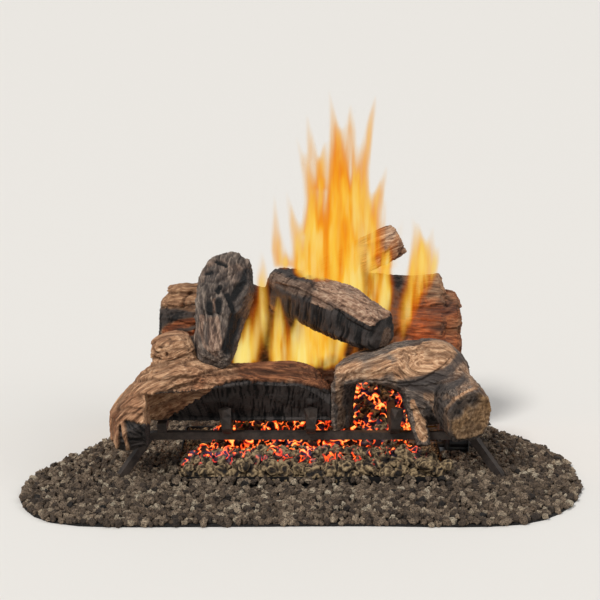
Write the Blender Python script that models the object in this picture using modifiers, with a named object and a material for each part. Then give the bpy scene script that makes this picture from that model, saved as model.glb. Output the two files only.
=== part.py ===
"""Vented gas log set: cast ceramic logs stacked on a steel grate, over a pan burner with two ported tubes,
glowing embers, a safety valve at the right and a bed of lava granules on the hearth.

Metres, +Z up, the front towards -Y. The origin is the middle of the granule bed's footprint, at hearth level.
Places with LOCAL in their comment are measured from the middle of the grate.
"""

import math

import bmesh
import bpy
from mathutils import Matrix, Vector, noise

UP = Vector((0, 0, 1))

# Clearances, and the reach of cutters
GAP = 0.0003  # between pieces that rest on or against each other
SEAT_GAP = 0.0005  # between a log and the saddle cast for it
RUNNING_GAP = 0.0005  # round a shaft or button in its hole
OVERRUN = 0.05  # how far a cutter reaches past what it cuts

# The grate stands here in the frame of the whole set
SET_X = 0.013
SET_Y = 0.060

# Grate: square bars, the three inner ones turned up and twisted at the front. LOCAL
BAR_SIDE = 0.0145
BAR_PITCH = 0.1305
OUTER_BAR_INSET = 0.019
BAR_REAR_Y = 0.150
BAR_TIP_Y = -0.143
TIP_HEIGHT = 0.037
TIP_LEAN = 0.004
BEND_RADIUS = 0.013
CROSSBAR_SIDE = 0.012
CROSSBAR_HEIGHT = 0.0715
CROSSBAR_HALF_LENGTH = 0.253
FRONT_CROSSBAR_Y = -0.121
REAR_CROSSBAR_Y = 0.118
LEG_SPREAD = 0.054
LEG_REACH = 0.029
LEG_BEND = 0.012

# Burner pan, its sand, tubes and pipes. LOCAL
PAN_LENGTH = 0.420
PAN_DEPTH = 0.250
PAN_HEIGHT = 0.0245
PAN_WALL = 0.0014
PAN_Y = -0.060
PAN_CORNER = 0.008
SAND_LEVEL = 0.0178
TUBE_RADIUS = 0.0075
TUBE_BORE = 0.0061
TUBE_END_ROOM = 0.030  # from each end of a tube to the pan's wall
TUBE_HEIGHT = 0.0155
TUBE_CAP = 0.003
FRONT_TUBE_Y = -0.148
REAR_TUBE_Y = -0.002
PORT_RADIUS = 0.0013
PORT_PITCH = 0.030
PIPE_RADIUS = 0.005
CROSSOVER_INSET = 0.070  # from the tubes' right ends
BRACKET_WIDTH = 0.014
BRACKET_DEPTH = 0.018
BRACKET_INSET = 0.045  # from each end of a tube to the middle of its chair
TUBE_LENGTH = PAN_LENGTH - TUBE_END_ROOM * 2

# Valve group at the right of the pan. LOCAL
VALVE_LENGTH = 0.036
VALVE_DEPTH = 0.048
VALVE_HEIGHT = 0.036
VALVE_Y = REAR_TUBE_Y + 0.014
VALVE_LIFT = 0.0075
VALVE_SET_OFF = 0.0115
VALVE_ROUND = 0.003
VALVE_SHOULDER = 0.005
STEM_RADIUS = 0.0035
STEM_LENGTH = 0.015
STEM_LIFT = 0.008
STEM_SOCKET = 0.012
PUSH_TRAVEL = 0.003  # the knob and stem are pressed in to hold the pilot's gas on
FACE_THICKNESS = 0.0014
FACE_MARGIN = 0.004
TAB_WIDTH = 0.012
KNOB_RADIUS = 0.0135
KNOB_LENGTH = 0.015
KNOB_GRIP = 0.0018
KNOB_SKIRT = 0.003
KNOB_FLUTES = 7
IGNITER_RADIUS = 0.0075
IGNITER_LENGTH = 0.030
IGNITER_GAP = 0.004
BUTTON_RADIUS = 0.0048
BUTTON_PROUD = 0.0085
BUTTON_ROOT = 0.003
SHIELD_HEIGHT = 0.0585
SHIELD_FLANGE = 0.020
INLET_RADIUS = 0.0062
INLET_LENGTH = 0.024
INLET_HEX = 0.0088
INLET_HEX_LENGTH = 0.009
INLET_BORE = 0.0042
PILOT_INSET = 0.018  # from the pan's right wall
PILOT_SET_OFF = 0.010
PILOT_RADIUS = 0.0045
PILOT_WALL = 0.0011
PILOT_HEIGHT = 0.022
LEAD_RADIUS = 0.0016
LEAD_HEIGHT = 0.0345
PROBE_PITCH = 0.0105
PROBE_RADIUS = 0.0017
PROBE_HEIGHT = 0.030

# Ember beds. LOCAL
EMBER_MARGIN = 0.0036
EMBER_FRONT_DEPTH = 0.082
EMBER_FRONT_RISE = 0.031
EMBER_REAR_INSET = 0.050  # from each side wall of the pan
EMBER_REAR_REACH = (0.086, 0.054)
EMBER_REAR_RISE = 0.052
EMBER_HUMP_X = 0.106
EMBER_HUMP_Y = 0.004
EMBER_HUMP_RISE = 0.062
EMBER_HUMP_SPREAD = 0.038
EMBER_LUMP = 0.0045
EMBER_RAGGED = 0.0022

# Granule bed, in the frame of the whole set
BED_HALF_WIDTH = 0.4325
BED_HALF_DEPTH = 0.270
BED_HEIGHT = 0.016
BED_EDGE = 0.007
BED_LUMP = 0.0046
BED_INNER_GAP = 0.0006

# Cast logs. LOCAL
BARK = 0.0034  # how far lumps of the bark stand out or in
LAYER_DEPTH = 0.010  # from the lip of a split layer to its root
BACK_LENGTH = 0.504
BACK_DEEP = 0.100
BACK_TALL = 0.180
BACK_Y = 0.102
BACK_LAYERS = 5
FRONT_LEFT_DEEP = 0.112
FRONT_LEFT_TALL = 0.140
FRONT_LEFT_START = (-0.305, -0.172)
FRONT_LEFT_END = (0.031, -0.090)
FRONT_KNOT_WIDE = 0.056
FRONT_RIGHT_DEEP = 0.106
FRONT_RIGHT_TALL = 0.125
FRONT_RIGHT_START = (0.041, -0.090)
FRONT_RIGHT_END = (0.250, -0.098)
STUB_LENGTH = 0.104
STUB_WIDE = 0.070
STUB_TALL = 0.090
RIM_THICK = 0.015
RIM_DEEP = 0.062
PROP_WIDE = 0.026
PROP_DEEP = 0.021
PROP_DROP = 0.027
CROSS_LEFT_X = (-0.150, -0.135)
CROSS_LEFT_Y = (-0.145, 0.118)
CROSS_LEFT_WIDE = 0.088
CHARRED_START = (-0.059, 0.054)
CHARRED_END = (0.114, -0.086)
CHARRED_DEEP = 0.070
CHARRED_TALL = 0.076
TOP_START = (-0.007, 0.092)
TOP_END = (0.147, 0.116)
TOP_WIDE = 0.054
TOP_CLIMB = 0.076

# The front logs' undersides slope up to the front, clear of the bars' tips
UNDERCUT_HEIGHT = 0.072
UNDERCUT_SLOPE_SHARE = 0.54

# How deep an upper log sits in the saddle of a lower one
SADDLE = 0.006

GRATE_TOP = CROSSBAR_HEIGHT + CROSSBAR_SIDE / 2 + GAP + BAR_SIDE
LOG_FLOOR = GRATE_TOP + GAP

LOG_SIDES = 22
LOG_RINGS = 18


# Scene helpers

def clear_scene():
    for obj in list(bpy.data.objects):
        bpy.data.objects.remove(obj)


def collection_named(name):
    made = bpy.data.collections.new(name)
    bpy.context.scene.collection.children.link(made)
    return made


def material(name, colour, roughness, metallic=0.0, glow=None):
    made = bpy.data.materials.new(name)
    made.use_nodes = True
    shader = made.node_tree.nodes["Principled BSDF"]
    shader.inputs["Base Color"].default_value = (*colour, 1)
    shader.inputs["Roughness"].default_value = roughness
    shader.inputs["Metallic"].default_value = metallic
    if glow:
        shader.inputs["Emission Color"].default_value = (*glow, 1)
        shader.inputs["Emission Strength"].default_value = 1
    return made


def place(name, bm, finish):
    """A bmesh as a named object of the set, with its normals out, in its material."""
    bmesh.ops.recalc_face_normals(bm, faces=bm.faces)
    mesh = bpy.data.meshes.new(name)
    bm.to_mesh(mesh)
    bm.free()
    obj = bpy.data.objects.new(name, mesh)
    PARTS.objects.link(obj)
    if finish:
        mesh.materials.append(finish)
    return obj


def as_cutter(obj):
    obj.hide_render = True
    obj.display_type = "WIRE"
    for home in list(obj.users_collection):
        home.objects.unlink(obj)
    CUTTERS.objects.link(obj)
    return obj


def settle(obj):
    """Turns the object's modifiers into its own mesh."""
    graph = bpy.context.evaluated_depsgraph_get()
    mesh = bpy.data.meshes.new_from_object(obj.evaluated_get(graph))
    obj.modifiers.clear()
    obj.data = mesh
    return obj


def boolean(obj, other, operation):
    change = obj.modifiers.new(operation.title(), "BOOLEAN")
    change.operation = operation
    change.object = other
    change.solver = "EXACT"
    return settle(obj)


def cut(obj, *cutters):
    for cutter in cutters:
        boolean(obj, cutter, "DIFFERENCE")
    return obj


def fuse(obj, *others):
    for other in others:
        boolean(obj, as_cutter(other), "UNION")
    return obj


def grown(obj, by):
    """A cutter in the shape of obj, larger by this much all round."""
    cutter = bpy.data.objects.new("room_for_" + obj.name, obj.data.copy())
    CUTTERS.objects.link(cutter)
    cutter.matrix_world = obj.matrix_world
    swell = cutter.modifiers.new("Swell", "DISPLACE")
    swell.strength = by
    swell.mid_level = 0
    settle(cutter)
    return as_cutter(cutter)


def shade_smooth(obj, degrees=50):
    obj.data.shade_smooth()
    obj.data.set_sharp_from_angle(angle=math.radians(degrees))
    return obj


def at_set(x, y, z):
    """A point of the grate's own frame in the frame of the whole set."""
    return Vector((SET_X + x, SET_Y + y, z))


# Plain shapes

def block(name, low, high, finish=None, round_edges=0.0):
    """A box between two corners, with its edges rounded if asked."""
    bm = bmesh.new()
    bmesh.ops.create_cube(bm, size=1)
    size = high - low
    bmesh.ops.scale(bm, vec=size, verts=bm.verts)
    bmesh.ops.translate(bm, vec=(low + high) / 2, verts=bm.verts)
    if round_edges:
        bmesh.ops.bevel(
            bm, geom=bm.edges[:], offset=round_edges, segments=2, profile=0.5, affect="EDGES"
        )
    return place(name, bm, finish)


def rod(name, start, end, radius, finish=None, sides=16, end_radius=None):
    """A round bar, or a cone, between two points."""
    bm = bmesh.new()
    run = end - start
    bmesh.ops.create_cone(
        bm, cap_ends=True, segments=sides, radius1=radius,
        radius2=radius if end_radius is None else end_radius, depth=run.length,
    )
    turn = run.to_track_quat("Z", "Y").to_matrix().to_4x4()
    bmesh.ops.transform(bm, matrix=Matrix.Translation((start + end) / 2) @ turn, verts=bm.verts)
    return shade_smooth(place(name, bm, finish))


def wire(name, points, radius, finish, tilts=None, resolution=2, twist="MINIMUM"):
    """A bar or lead along points. At resolution 0 it is a square bar, which tilts turn about its axis."""
    curve = bpy.data.curves.new(name, "CURVE")
    curve.dimensions = "3D"
    curve.twist_mode = twist
    curve.bevel_depth = radius
    curve.bevel_resolution = resolution
    curve.use_fill_caps = True
    line = curve.splines.new("POLY")
    line.points.add(len(points) - 1)
    for k, point in enumerate(points):
        line.points[k].co = (*point, 1)
        if tilts:
            line.points[k].tilt = tilts[k]
    guide = bpy.data.objects.new(name, curve)
    bpy.context.scene.collection.objects.link(guide)
    bpy.context.view_layer.update()
    graph = bpy.context.evaluated_depsgraph_get()
    mesh = bpy.data.meshes.new_from_object(guide.evaluated_get(graph))
    bpy.data.objects.remove(guide)
    bm = bmesh.new()
    bm.from_mesh(mesh)
    bmesh.ops.remove_doubles(bm, verts=bm.verts, dist=GAP / 10)
    return place(name, bm, finish)


def bend(corner, before, after, radius, steps):
    """Points of a round bend at a corner, between the directions to the points before and after it."""
    into = (before - corner).normalized()
    out = (after - corner).normalized()
    half = into.angle(out) / 2
    reach = radius / math.tan(half)
    middle = corner + (into + out).normalized() * (radius / math.sin(half))
    first = corner + into * reach - middle
    last = corner + out * reach - middle
    return [middle + first.slerp(last, k / steps) * (radius / first.slerp(last, k / steps).length)
            for k in range(steps + 1)]


# Cast logs

def smooth_row(rows, at):
    """The table's values at a place along it, on a smooth curve through its rows."""
    last = len(rows) - 1
    k = max([i for i in range(last) if rows[i][0] <= at] or [0])
    a, b = rows[k], rows[k + 1]
    before, after = rows[max(k - 1, 0)], rows[min(k + 2, last)]
    span = b[0] - a[0]
    s = (at - a[0]) / span
    found = []
    for c in range(1, len(a)):
        leave = (b[c] - before[c]) / (b[0] - before[0]) * span
        arrive = (after[c] - a[c]) / (after[0] - a[0]) * span
        found.append(
            (2 * s ** 3 - 3 * s ** 2 + 1) * a[c] + (s ** 3 - 2 * s ** 2 + s) * leave
            + (3 * s ** 2 - 2 * s ** 3) * b[c] + (s ** 3 - s ** 2) * arrive
        )
    return found


def stations(form_shares, rings):
    """Places for rings: at every row of the table, and evenly between them."""
    found = [form_shares[0][0]]
    for one, two in zip(form_shares, form_shares[1:]):
        steps = max(1, round((two[0] - one[0]) * rings))
        found += [one[0] + (two[0] - one[0]) * k / steps for k in range(1, steps + 1)]
    return found


def loft(name, start, end, deep, tall, form_shares, finish=None, squareness=2.4, bark=BARK,
         seed=0.0, rings=LOG_RINGS, sides=LOG_SIDES, across=None, layers=0):
    """A lumpy log or limb from start to end. Each row of form_shares is (along, aside, lift, deep, tall):
    how far along it lies, how far its middle strays, and how thick it is there, as shares. Where it has
    layers, it is split along the grain into that many, each swelling down to a lip."""
    run = end - start
    aside_way = across or run.cross(UP).normalized()
    lift_way = aside_way.cross(run).normalized()
    along_way = run.normalized()
    bm = bmesh.new()
    loops = []
    for at in stations(form_shares, rings):
        aside, lift, deep_share, tall_share = smooth_row(form_shares, at)
        middle = start + run * at + aside_way * (aside * deep) + lift_way * (lift * tall)
        loop = []
        for k in range(sides):
            angle = math.tau * k / sides
            c, s = math.cos(angle), math.sin(angle)
            fit = (abs(c) ** squareness + abs(s) ** squareness) ** (-1 / squareness)
            place_along = at * run.length / deep
            swell = noise.noise(Vector((c * 1.2 + seed, s * 1.2, place_along * 1.3)))
            ridge = noise.noise(Vector((c * 3.1, s * 3.1 + seed, place_along * 0.6)))
            point = middle + aside_way * (deep * deep_share / 2 * c * fit)
            point += lift_way * (tall * tall_share / 2 * s * fit)
            point += (aside_way * c + lift_way * s) * (bark * (swell + ridge))
            point += along_way * (bark * 0.8 * swell)
            if layers:
                wander = noise.noise(Vector((place_along * 0.9, s, seed)))
                share = (layers * (0.5 + s * fit / 2) + wander) % 1
                point -= (aside_way * c + lift_way * s * 0.4) * (LAYER_DEPTH * share)
            loop.append(bm.verts.new(point))
        loops.append(loop)
    for one, two in zip(loops, loops[1:]):
        for k in range(sides):
            bm.faces.new((one[k], one[(k + 1) % sides], two[(k + 1) % sides], two[k]))
    for loop in (loops[0], loops[-1]):
        centre = bm.verts.new(sum((v.co for v in loop), Vector()) / sides)
        for k in range(sides):
            bm.faces.new((loop[k], loop[(k + 1) % sides], centre))
    bmesh.ops.triangulate(bm, faces=bm.faces)
    return shade_smooth(place(name, bm, finish))


def flat_sole(log):
    """Cuts the log flat where it lies over the grate, at the top of the bars."""
    reach = CROSSBAR_HALF_LENGTH + CROSSBAR_SIDE * 2
    low = at_set(-reach, BAR_TIP_Y + BAR_SIDE, -OVERRUN)
    high = at_set(reach, BAR_REAR_Y + OVERRUN, LOG_FLOOR)
    return cut(log, as_cutter(block("sole_of_" + log.name, low, high)))


def undercut(log, left, right):
    """Slants the log's lower front back to behind the upturned tips of the bars."""
    foot_y = BAR_TIP_Y + BAR_SIDE * 2.1
    low = Vector((SET_X + left, SET_Y + foot_y - OVERRUN * 2, LOG_FLOOR - OVERRUN))
    high = Vector((SET_X + right, SET_Y + foot_y, LOG_FLOOR + UNDERCUT_HEIGHT))
    cutter = block("undercut_of_" + log.name, low, high)
    for v in cutter.data.vertices:
        v.co.y -= (v.co.z - LOG_FLOOR) * UNDERCUT_SLOPE_SHARE
    return cut(log, as_cutter(cutter))


def back_log():
    """The tall rear log: a dip in its middle and a higher right half, which the upper logs lie on."""
    form_shares = [
        (0.00, 0.00, -0.11, 0.66, 0.74),
        (0.03, 0.00, -0.06, 0.86, 0.93),
        (0.14, 0.03, -0.03, 0.97, 1.00),
        (0.28, 0.00, -0.03, 1.00, 1.00),
        (0.36, -0.02, -0.08, 0.98, 0.91),
        (0.52, 0.00, -0.09, 0.97, 0.88),
        (0.60, 0.02, -0.02, 1.00, 1.02),
        (0.66, 0.00, 0.02, 1.00, 1.10),
        (0.78, 0.00, 0.00, 1.00, 1.06),
        (0.93, -0.02, 0.00, 0.96, 1.05),
        (0.95, 0.00, -0.07, 0.90, 0.92),
        (0.985, 0.00, -0.08, 0.84, 0.88),
        (1.00, 0.00, -0.10, 0.68, 0.74),
    ]
    height = LOG_FLOOR + BACK_TALL / 2
    log = loft(
        "back_log", at_set(-BACK_LENGTH / 2, BACK_Y, height), at_set(BACK_LENGTH / 2, BACK_Y, height),
        BACK_DEEP, BACK_TALL, form_shares, CERAMIC, squareness=3.0, seed=3.1, rings=20, sides=28,
        layers=BACK_LAYERS,
    )
    return flat_sole(log)


def back_log_top(lift_share, tall_share):
    """The height of the back log's top where its form has these shares."""
    return LOG_FLOOR + BACK_TALL * (0.5 + lift_share + tall_share / 2)


def front_left_log():
    """The long front log: a thick drooping left end with a knot, and a lower charred right half."""
    form_shares = [
        (0.00, 0.00, -0.46, 0.62, 0.36),
        (0.04, 0.00, -0.41, 0.78, 0.53),
        (0.13, 0.00, -0.28, 0.90, 0.75),
        (0.235, -0.05, -0.15, 1.02, 0.89),
        (0.355, -0.08, -0.15, 1.02, 0.87),
        (0.47, -0.08, -0.20, 0.96, 0.77),
        (0.64, -0.05, -0.21, 0.88, 0.74),
        (0.83, 0.00, -0.22, 0.84, 0.75),
        (0.92, 0.00, -0.26, 0.76, 0.66),
        (0.975, 0.00, -0.32, 0.66, 0.52),
        (1.00, 0.00, -0.35, 0.50, 0.40),
    ]
    height = LOG_FLOOR + FRONT_LEFT_TALL / 2
    start, end = at_set(*FRONT_LEFT_START, height), at_set(*FRONT_LEFT_END, height)
    log = loft(
        "front_log_left", start, end, FRONT_LEFT_DEEP, FRONT_LEFT_TALL, form_shares, CERAMIC,
        squareness=2.5, seed=11.7, bark=BARK * 1.3,
    )
    run = end - start
    root = start.lerp(end, 0.315) + UP * (FRONT_LEFT_TALL * 0.06) - run.cross(UP) * 0.10
    tip = start.lerp(end, 0.265) + UP * (FRONT_LEFT_TALL * 0.52) - run.cross(UP) * 0.05
    knot_shares = [
        (0.0, 0, 0, 1.45, 1.45),
        (0.6, 0, 0, 1.15, 1.15),
        (0.9, 0, 0, 1.00, 1.00),
        (1.0, 0, 0, 0.72, 0.72),
    ]
    knot = loft(
        "front_log_knot", root, tip, FRONT_KNOT_WIDE, FRONT_KNOT_WIDE, knot_shares,
        seed=2.2, rings=7, sides=18, across=Vector((0, 1, 0)),
    )
    fuse(log, knot)
    return undercut(flat_sole(log), -CROSSBAR_HALF_LENGTH, BAR_PITCH)


def front_left_log_top():
    """The height of the front left log's top where the left cross log lies on it."""
    return LOG_FLOOR + FRONT_LEFT_TALL * (0.5 - 0.20 + 0.77 / 2)


def front_right_log():
    """A hollowed log: a bridge over an arch, a thin rim at its left, a prop in front of the grate,
    and a thick limb sawn off towards the front."""
    form_shares = [
        (0.00, 0.00, 0.01, 0.42, 0.26),
        (0.05, 0.00, 0.07, 0.56, 0.30),
        (0.16, 0.00, 0.15, 0.72, 0.30),
        (0.30, 0.00, 0.17, 0.84, 0.38),
        (0.42, 0.00, 0.18, 0.92, 0.48),
        (0.50, 0.00, 0.13, 0.97, 0.66),
        (0.57, 0.00, -0.02, 1.00, 1.02),
        (0.80, 0.00, -0.04, 1.02, 1.04),
        (0.93, 0.00, -0.12, 0.94, 0.90),
        (0.98, 0.00, -0.17, 0.82, 0.76),
        (1.00, 0.00, -0.20, 0.64, 0.60),
    ]
    height = LOG_FLOOR + FRONT_RIGHT_TALL / 2
    start, end = at_set(*FRONT_RIGHT_START, height), at_set(*FRONT_RIGHT_END, height)
    log = loft(
        "front_log_right", start, end, FRONT_RIGHT_DEEP, FRONT_RIGHT_TALL, form_shares, CERAMIC,
        squareness=2.4, seed=21.4, rings=26,
    )
    fuse(log, front_limb(start, end))
    flat_sole(log)
    return fuse(log, front_rim(), front_prop(start, end))


def front_limb(start, end):
    """The thick limb of the front right log, sawn off towards the front."""
    limb_shares = [
        (0.00, 0, 0, 0.86, 0.86),
        (0.50, 0, 0, 1.02, 1.00),
        (0.85, 0, 0, 1.04, 1.02),
        (0.96, 0, 0, 1.00, 0.99),
        (1.00, 0, 0, 0.88, 0.89),
    ]
    root = start.lerp(end, 0.80) - UP * (FRONT_RIGHT_TALL * 0.05)
    way = Vector((0.34, -0.90, -0.27)).normalized()
    return loft("front_log_limb", root, root + way * STUB_LENGTH, STUB_WIDE, STUB_TALL, limb_shares,
                seed=6.6, rings=10, sides=24)


def front_rim():
    """The thin left rim of the front right log's hollow, which stands on the front crossbar."""
    rim_shares = [
        (0.0, 0, 0.0, 0.85, 0.9),
        (0.4, 0, -0.2, 0.95, 1.0),
        (0.8, 0, 0.1, 1.00, 1.4),
        (1.0, 0, 0.3, 0.80, 1.6),
    ]
    seat = CROSSBAR_HEIGHT + CROSSBAR_SIDE / 2 + GAP
    foot = at_set(FRONT_RIGHT_START[0] + RIM_THICK * 0.7, FRONT_CROSSBAR_Y + RIM_DEEP * 0.33, seat - SADDLE)
    rim = loft("front_log_rim", foot, foot + UP * (FRONT_RIGHT_TALL * 0.80), RIM_DEEP, RIM_THICK, rim_shares,
               seed=15.2, rings=9, sides=18, across=Vector((0.55, 0.83, 0)).normalized(), bark=BARK / 2)
    low = Vector((foot.x - OVERRUN, foot.y - OVERRUN * 2, seat - OVERRUN))
    high = Vector((foot.x + OVERRUN, foot.y + OVERRUN * 2, seat))
    return cut(rim, as_cutter(block("rim_sole", low, high)))


def front_prop(start, end):
    """The slim prop of the front right log, which hangs down in front of the front crossbar."""
    prop_shares = [
        (0.0, 0, 0, 1.30, 1.60),
        (0.4, 0, 0, 1.10, 1.15),
        (0.8, 0, 0, 0.95, 1.00),
        (1.0, 0, 0, 0.75, 0.80),
    ]
    root = start.lerp(end, 0.52) + UP * (FRONT_RIGHT_TALL * 0.10) - Vector((0, PROP_DEEP, 0))
    foot = at_set(FRONT_RIGHT_START[0] + (end - start).x * 0.645,
                  FRONT_CROSSBAR_Y - CROSSBAR_SIDE - PROP_DEEP * 0.9, LOG_FLOOR - PROP_DROP)
    return loft("front_log_prop", root, foot, PROP_WIDE, PROP_DEEP, prop_shares,
                seed=9.9, rings=9, sides=14, across=Vector((1, 0, 0)), bark=BARK / 2)


def front_right_log_top():
    """The height of the front right log's top where the charred log's foot lies on it."""
    return LOG_FLOOR + FRONT_RIGHT_TALL * (0.5 + 0.18 + 0.46 / 2)


def cross_log_left():
    """The left cross log, from a narrow tongue on the front log up to the back log."""
    form_shares = [
        (0.00, 0.00, 0.00, 0.48, 0.42),
        (0.04, 0.00, 0.02, 0.62, 0.54),
        (0.12, 0.00, 0.08, 0.74, 0.66),
        (0.26, 0.00, 0.18, 0.84, 0.78),
        (0.55, 0.02, 0.16, 1.00, 0.92),
        (0.84, 0.00, 0.02, 0.94, 0.76),
        (0.97, 0.00, -0.03, 0.84, 0.68),
        (1.00, 0.00, -0.05, 0.66, 0.54),
    ]
    foot = front_left_log_top() - SADDLE + CROSS_LEFT_WIDE * 0.21
    head = back_log_top(-0.03, 1.0) - SADDLE + CROSS_LEFT_WIDE * 0.36
    return loft(
        "cross_log_left", at_set(CROSS_LEFT_X[0], CROSS_LEFT_Y[0], foot),
        at_set(CROSS_LEFT_X[1], CROSS_LEFT_Y[1], head), CROSS_LEFT_WIDE, CROSS_LEFT_WIDE,
        form_shares, CHARRED, seed=31.5, bark=BARK * 1.3,
    )


def cross_log_right():
    """The charred split log that leans from the back log down to the front right one."""
    form_shares = [
        (0.00, 0.00, 0.00, 0.66, 0.64),
        (0.03, 0.00, 0.00, 0.80, 0.78),
        (0.16, 0.04, 0.01, 0.92, 0.90),
        (0.40, 0.00, 0.01, 1.00, 1.00),
        (0.68, -0.03, 0.00, 1.02, 1.02),
        (0.90, 0.00, -0.02, 0.98, 0.84),
        (0.98, 0.00, -0.02, 0.92, 0.74),
        (1.00, 0.00, -0.02, 0.80, 0.64),
    ]
    head = back_log_top(-0.08, 0.91) - SADDLE + CHARRED_TALL * 0.39
    foot = front_right_log_top() - SADDLE + CHARRED_TALL * 0.39
    return loft(
        "cross_log_right", at_set(*CHARRED_START, head), at_set(*CHARRED_END, foot),
        CHARRED_DEEP, CHARRED_TALL, form_shares, CHARRED, squareness=3.6, seed=41.9,
    )


def top_log():
    """The slim log across the top, let into the dip of the back log and the rise beside it."""
    form_shares = [
        (0.00, 0.00, 0.00, 0.66, 0.66),
        (0.05, 0.00, 0.00, 0.86, 0.86),
        (0.30, 0.03, 0.02, 0.98, 0.98),
        (0.65, 0.00, -0.02, 1.00, 1.00),
        (0.95, 0.00, 0.00, 0.98, 0.98),
        (1.00, 0.00, 0.00, 0.88, 0.88),
    ]
    foot = back_log_top(-0.09, 0.88) - SADDLE + TOP_WIDE * 0.42
    return loft(
        "top_log", at_set(*TOP_START, foot), at_set(*TOP_END, foot + TOP_CLIMB),
        TOP_WIDE, TOP_WIDE, form_shares, CERAMIC, squareness=2.6, seed=52.3, rings=14, sides=18,
    )


def logs():
    """All six logs. The lower ones are cast with saddles for those that lie on them."""
    back, left, right = back_log(), front_left_log(), front_right_log()
    bridge, charred, top = cross_log_left(), cross_log_right(), top_log()
    cut(left, grown(right, SEAT_GAP))
    for lower, upper in ((back, bridge), (back, charred), (back, top), (left, bridge), (right, charred)):
        cut(lower, grown(upper, SEAT_GAP))
    return [back, left, right, bridge, charred, top]


# Grate

def grate_bar(number):
    """A fore-and-aft bar. The three inner ones turn up in front of the logs, twist and lean outwards."""
    row = number - 3
    outer = CROSSBAR_HALF_LENGTH - OUTER_BAR_INSET
    x = math.copysign(outer, row) if abs(row) == 2 else row * BAR_PITCH
    height = GRATE_TOP - BAR_SIDE / 2
    half_diagonal = BAR_SIDE / math.sqrt(2)
    rear = at_set(x, BAR_REAR_Y, height)
    flat, turned = math.radians(45), math.radians(90)
    if abs(row) == 2:
        points = [rear, at_set(x, FRONT_CROSSBAR_Y - CROSSBAR_SIDE / 2, height)]
        return wire(f"grate_bar_{number}", points, half_diagonal, STEEL, [flat, flat], resolution=0)
    corner = at_set(x, BAR_TIP_Y, height)
    tip = corner + Vector((row * TIP_LEAN, 0, TIP_HEIGHT))
    curve = bend(corner, rear, tip, BEND_RADIUS, 4)
    points = [rear, *curve, curve[-1].lerp(tip, 0.5), tip]
    tilts = [flat] * (len(curve) + 1) + [(flat + turned) / 2, turned]
    return wire(f"grate_bar_{number}", points, half_diagonal, STEEL, tilts, resolution=0)


def leg_frame(name, y, reach):
    """A crossbar bent down at both ends into splayed legs, which stand flat on the hearth."""
    corners = [at_set(side * CROSSBAR_HALF_LENGTH, y, CROSSBAR_HEIGHT) for side in (-1, 1)]
    feet = [at_set(side * (CROSSBAR_HALF_LENGTH + LEG_SPREAD), y + reach, 0) for side in (-1, 1)]
    ends = [foot + (foot - corner).normalized() * CROSSBAR_SIDE for foot, corner in zip(feet, corners)]
    points = [ends[0], *bend(corners[0], ends[0], corners[1], LEG_BEND, 4)]
    points += [*bend(corners[1], corners[0], ends[1], LEG_BEND, 4), ends[1]]
    flat = math.radians(45)
    frame = wire(name, points, CROSSBAR_SIDE / math.sqrt(2), STEEL, [flat] * len(points), 0, "Z_UP")
    low = Vector((feet[0].x - OVERRUN, min(feet[0].y, corners[0].y) - OVERRUN, -OVERRUN))
    high = Vector((feet[1].x + OVERRUN, max(feet[0].y, corners[0].y) + OVERRUN, 0))
    return cut(frame, as_cutter(block("sole_of_" + name, low, high)))


def grate():
    bars = [grate_bar(number) for number in range(1, 6)]
    front = leg_frame("leg_frame_front", FRONT_CROSSBAR_Y, -LEG_REACH)
    rear = leg_frame("leg_frame_rear", REAR_CROSSBAR_Y, LEG_REACH)
    return bars, front, rear


# Burner

def burner_pan():
    """A folded tray with a hole in its right wall for the inlet pipe."""
    pan = pan_block("burner_pan", 0, 0, PAN_HEIGHT)
    pan.data.materials.append(PAN_STEEL)
    bm = bmesh.new()
    bm.from_mesh(pan.data)
    lid = [f for f in bm.faces if f.calc_center_median().z > PAN_HEIGHT - PAN_WALL]
    bmesh.ops.delete(bm, geom=lid, context="FACES_ONLY")
    bm.to_mesh(pan.data)
    bm.free()
    wall = pan.modifiers.new("Wall", "SOLIDIFY")
    wall.thickness = PAN_WALL
    wall.offset = -1
    wall.use_even_offset = True
    settle(pan)
    hole = rod("pan_hole", at_set(PAN_LENGTH / 2 - OVERRUN, REAR_TUBE_Y, TUBE_HEIGHT),
               at_set(PAN_LENGTH / 2 + OVERRUN, REAR_TUBE_Y, TUBE_HEIGHT), PIPE_RADIUS + RUNNING_GAP)
    return cut(pan, as_cutter(hole))


def burner_tube(name, y, bore_open):
    """A capped tube with a row of ports along its top. The bore comes in through the end that is fed."""
    left, right = at_set(-TUBE_LENGTH / 2, y, TUBE_HEIGHT), at_set(TUBE_LENGTH / 2, y, TUBE_HEIGHT)
    tube = rod(name, left, right, TUBE_RADIUS, BURNER_STEEL, sides=14)
    inside = left + Vector((TUBE_CAP, 0, 0))
    out = right + Vector((OVERRUN if bore_open else -TUBE_CAP, 0, 0))
    cutters = [rod(name + "_bore", inside, out, TUBE_BORE, sides=14)]
    count = int((TUBE_LENGTH - PORT_PITCH) / PORT_PITCH)
    for k in range(count):
        x = (k - (count - 1) / 2) * PORT_PITCH
        cutters.append(rod(f"{name}_port_{k}", at_set(x, y, TUBE_HEIGHT),
                           at_set(x, y, TUBE_HEIGHT + TUBE_RADIUS * 2), PORT_RADIUS, sides=6))
    return cut(tube, *[as_cutter(c) for c in cutters])


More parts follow.
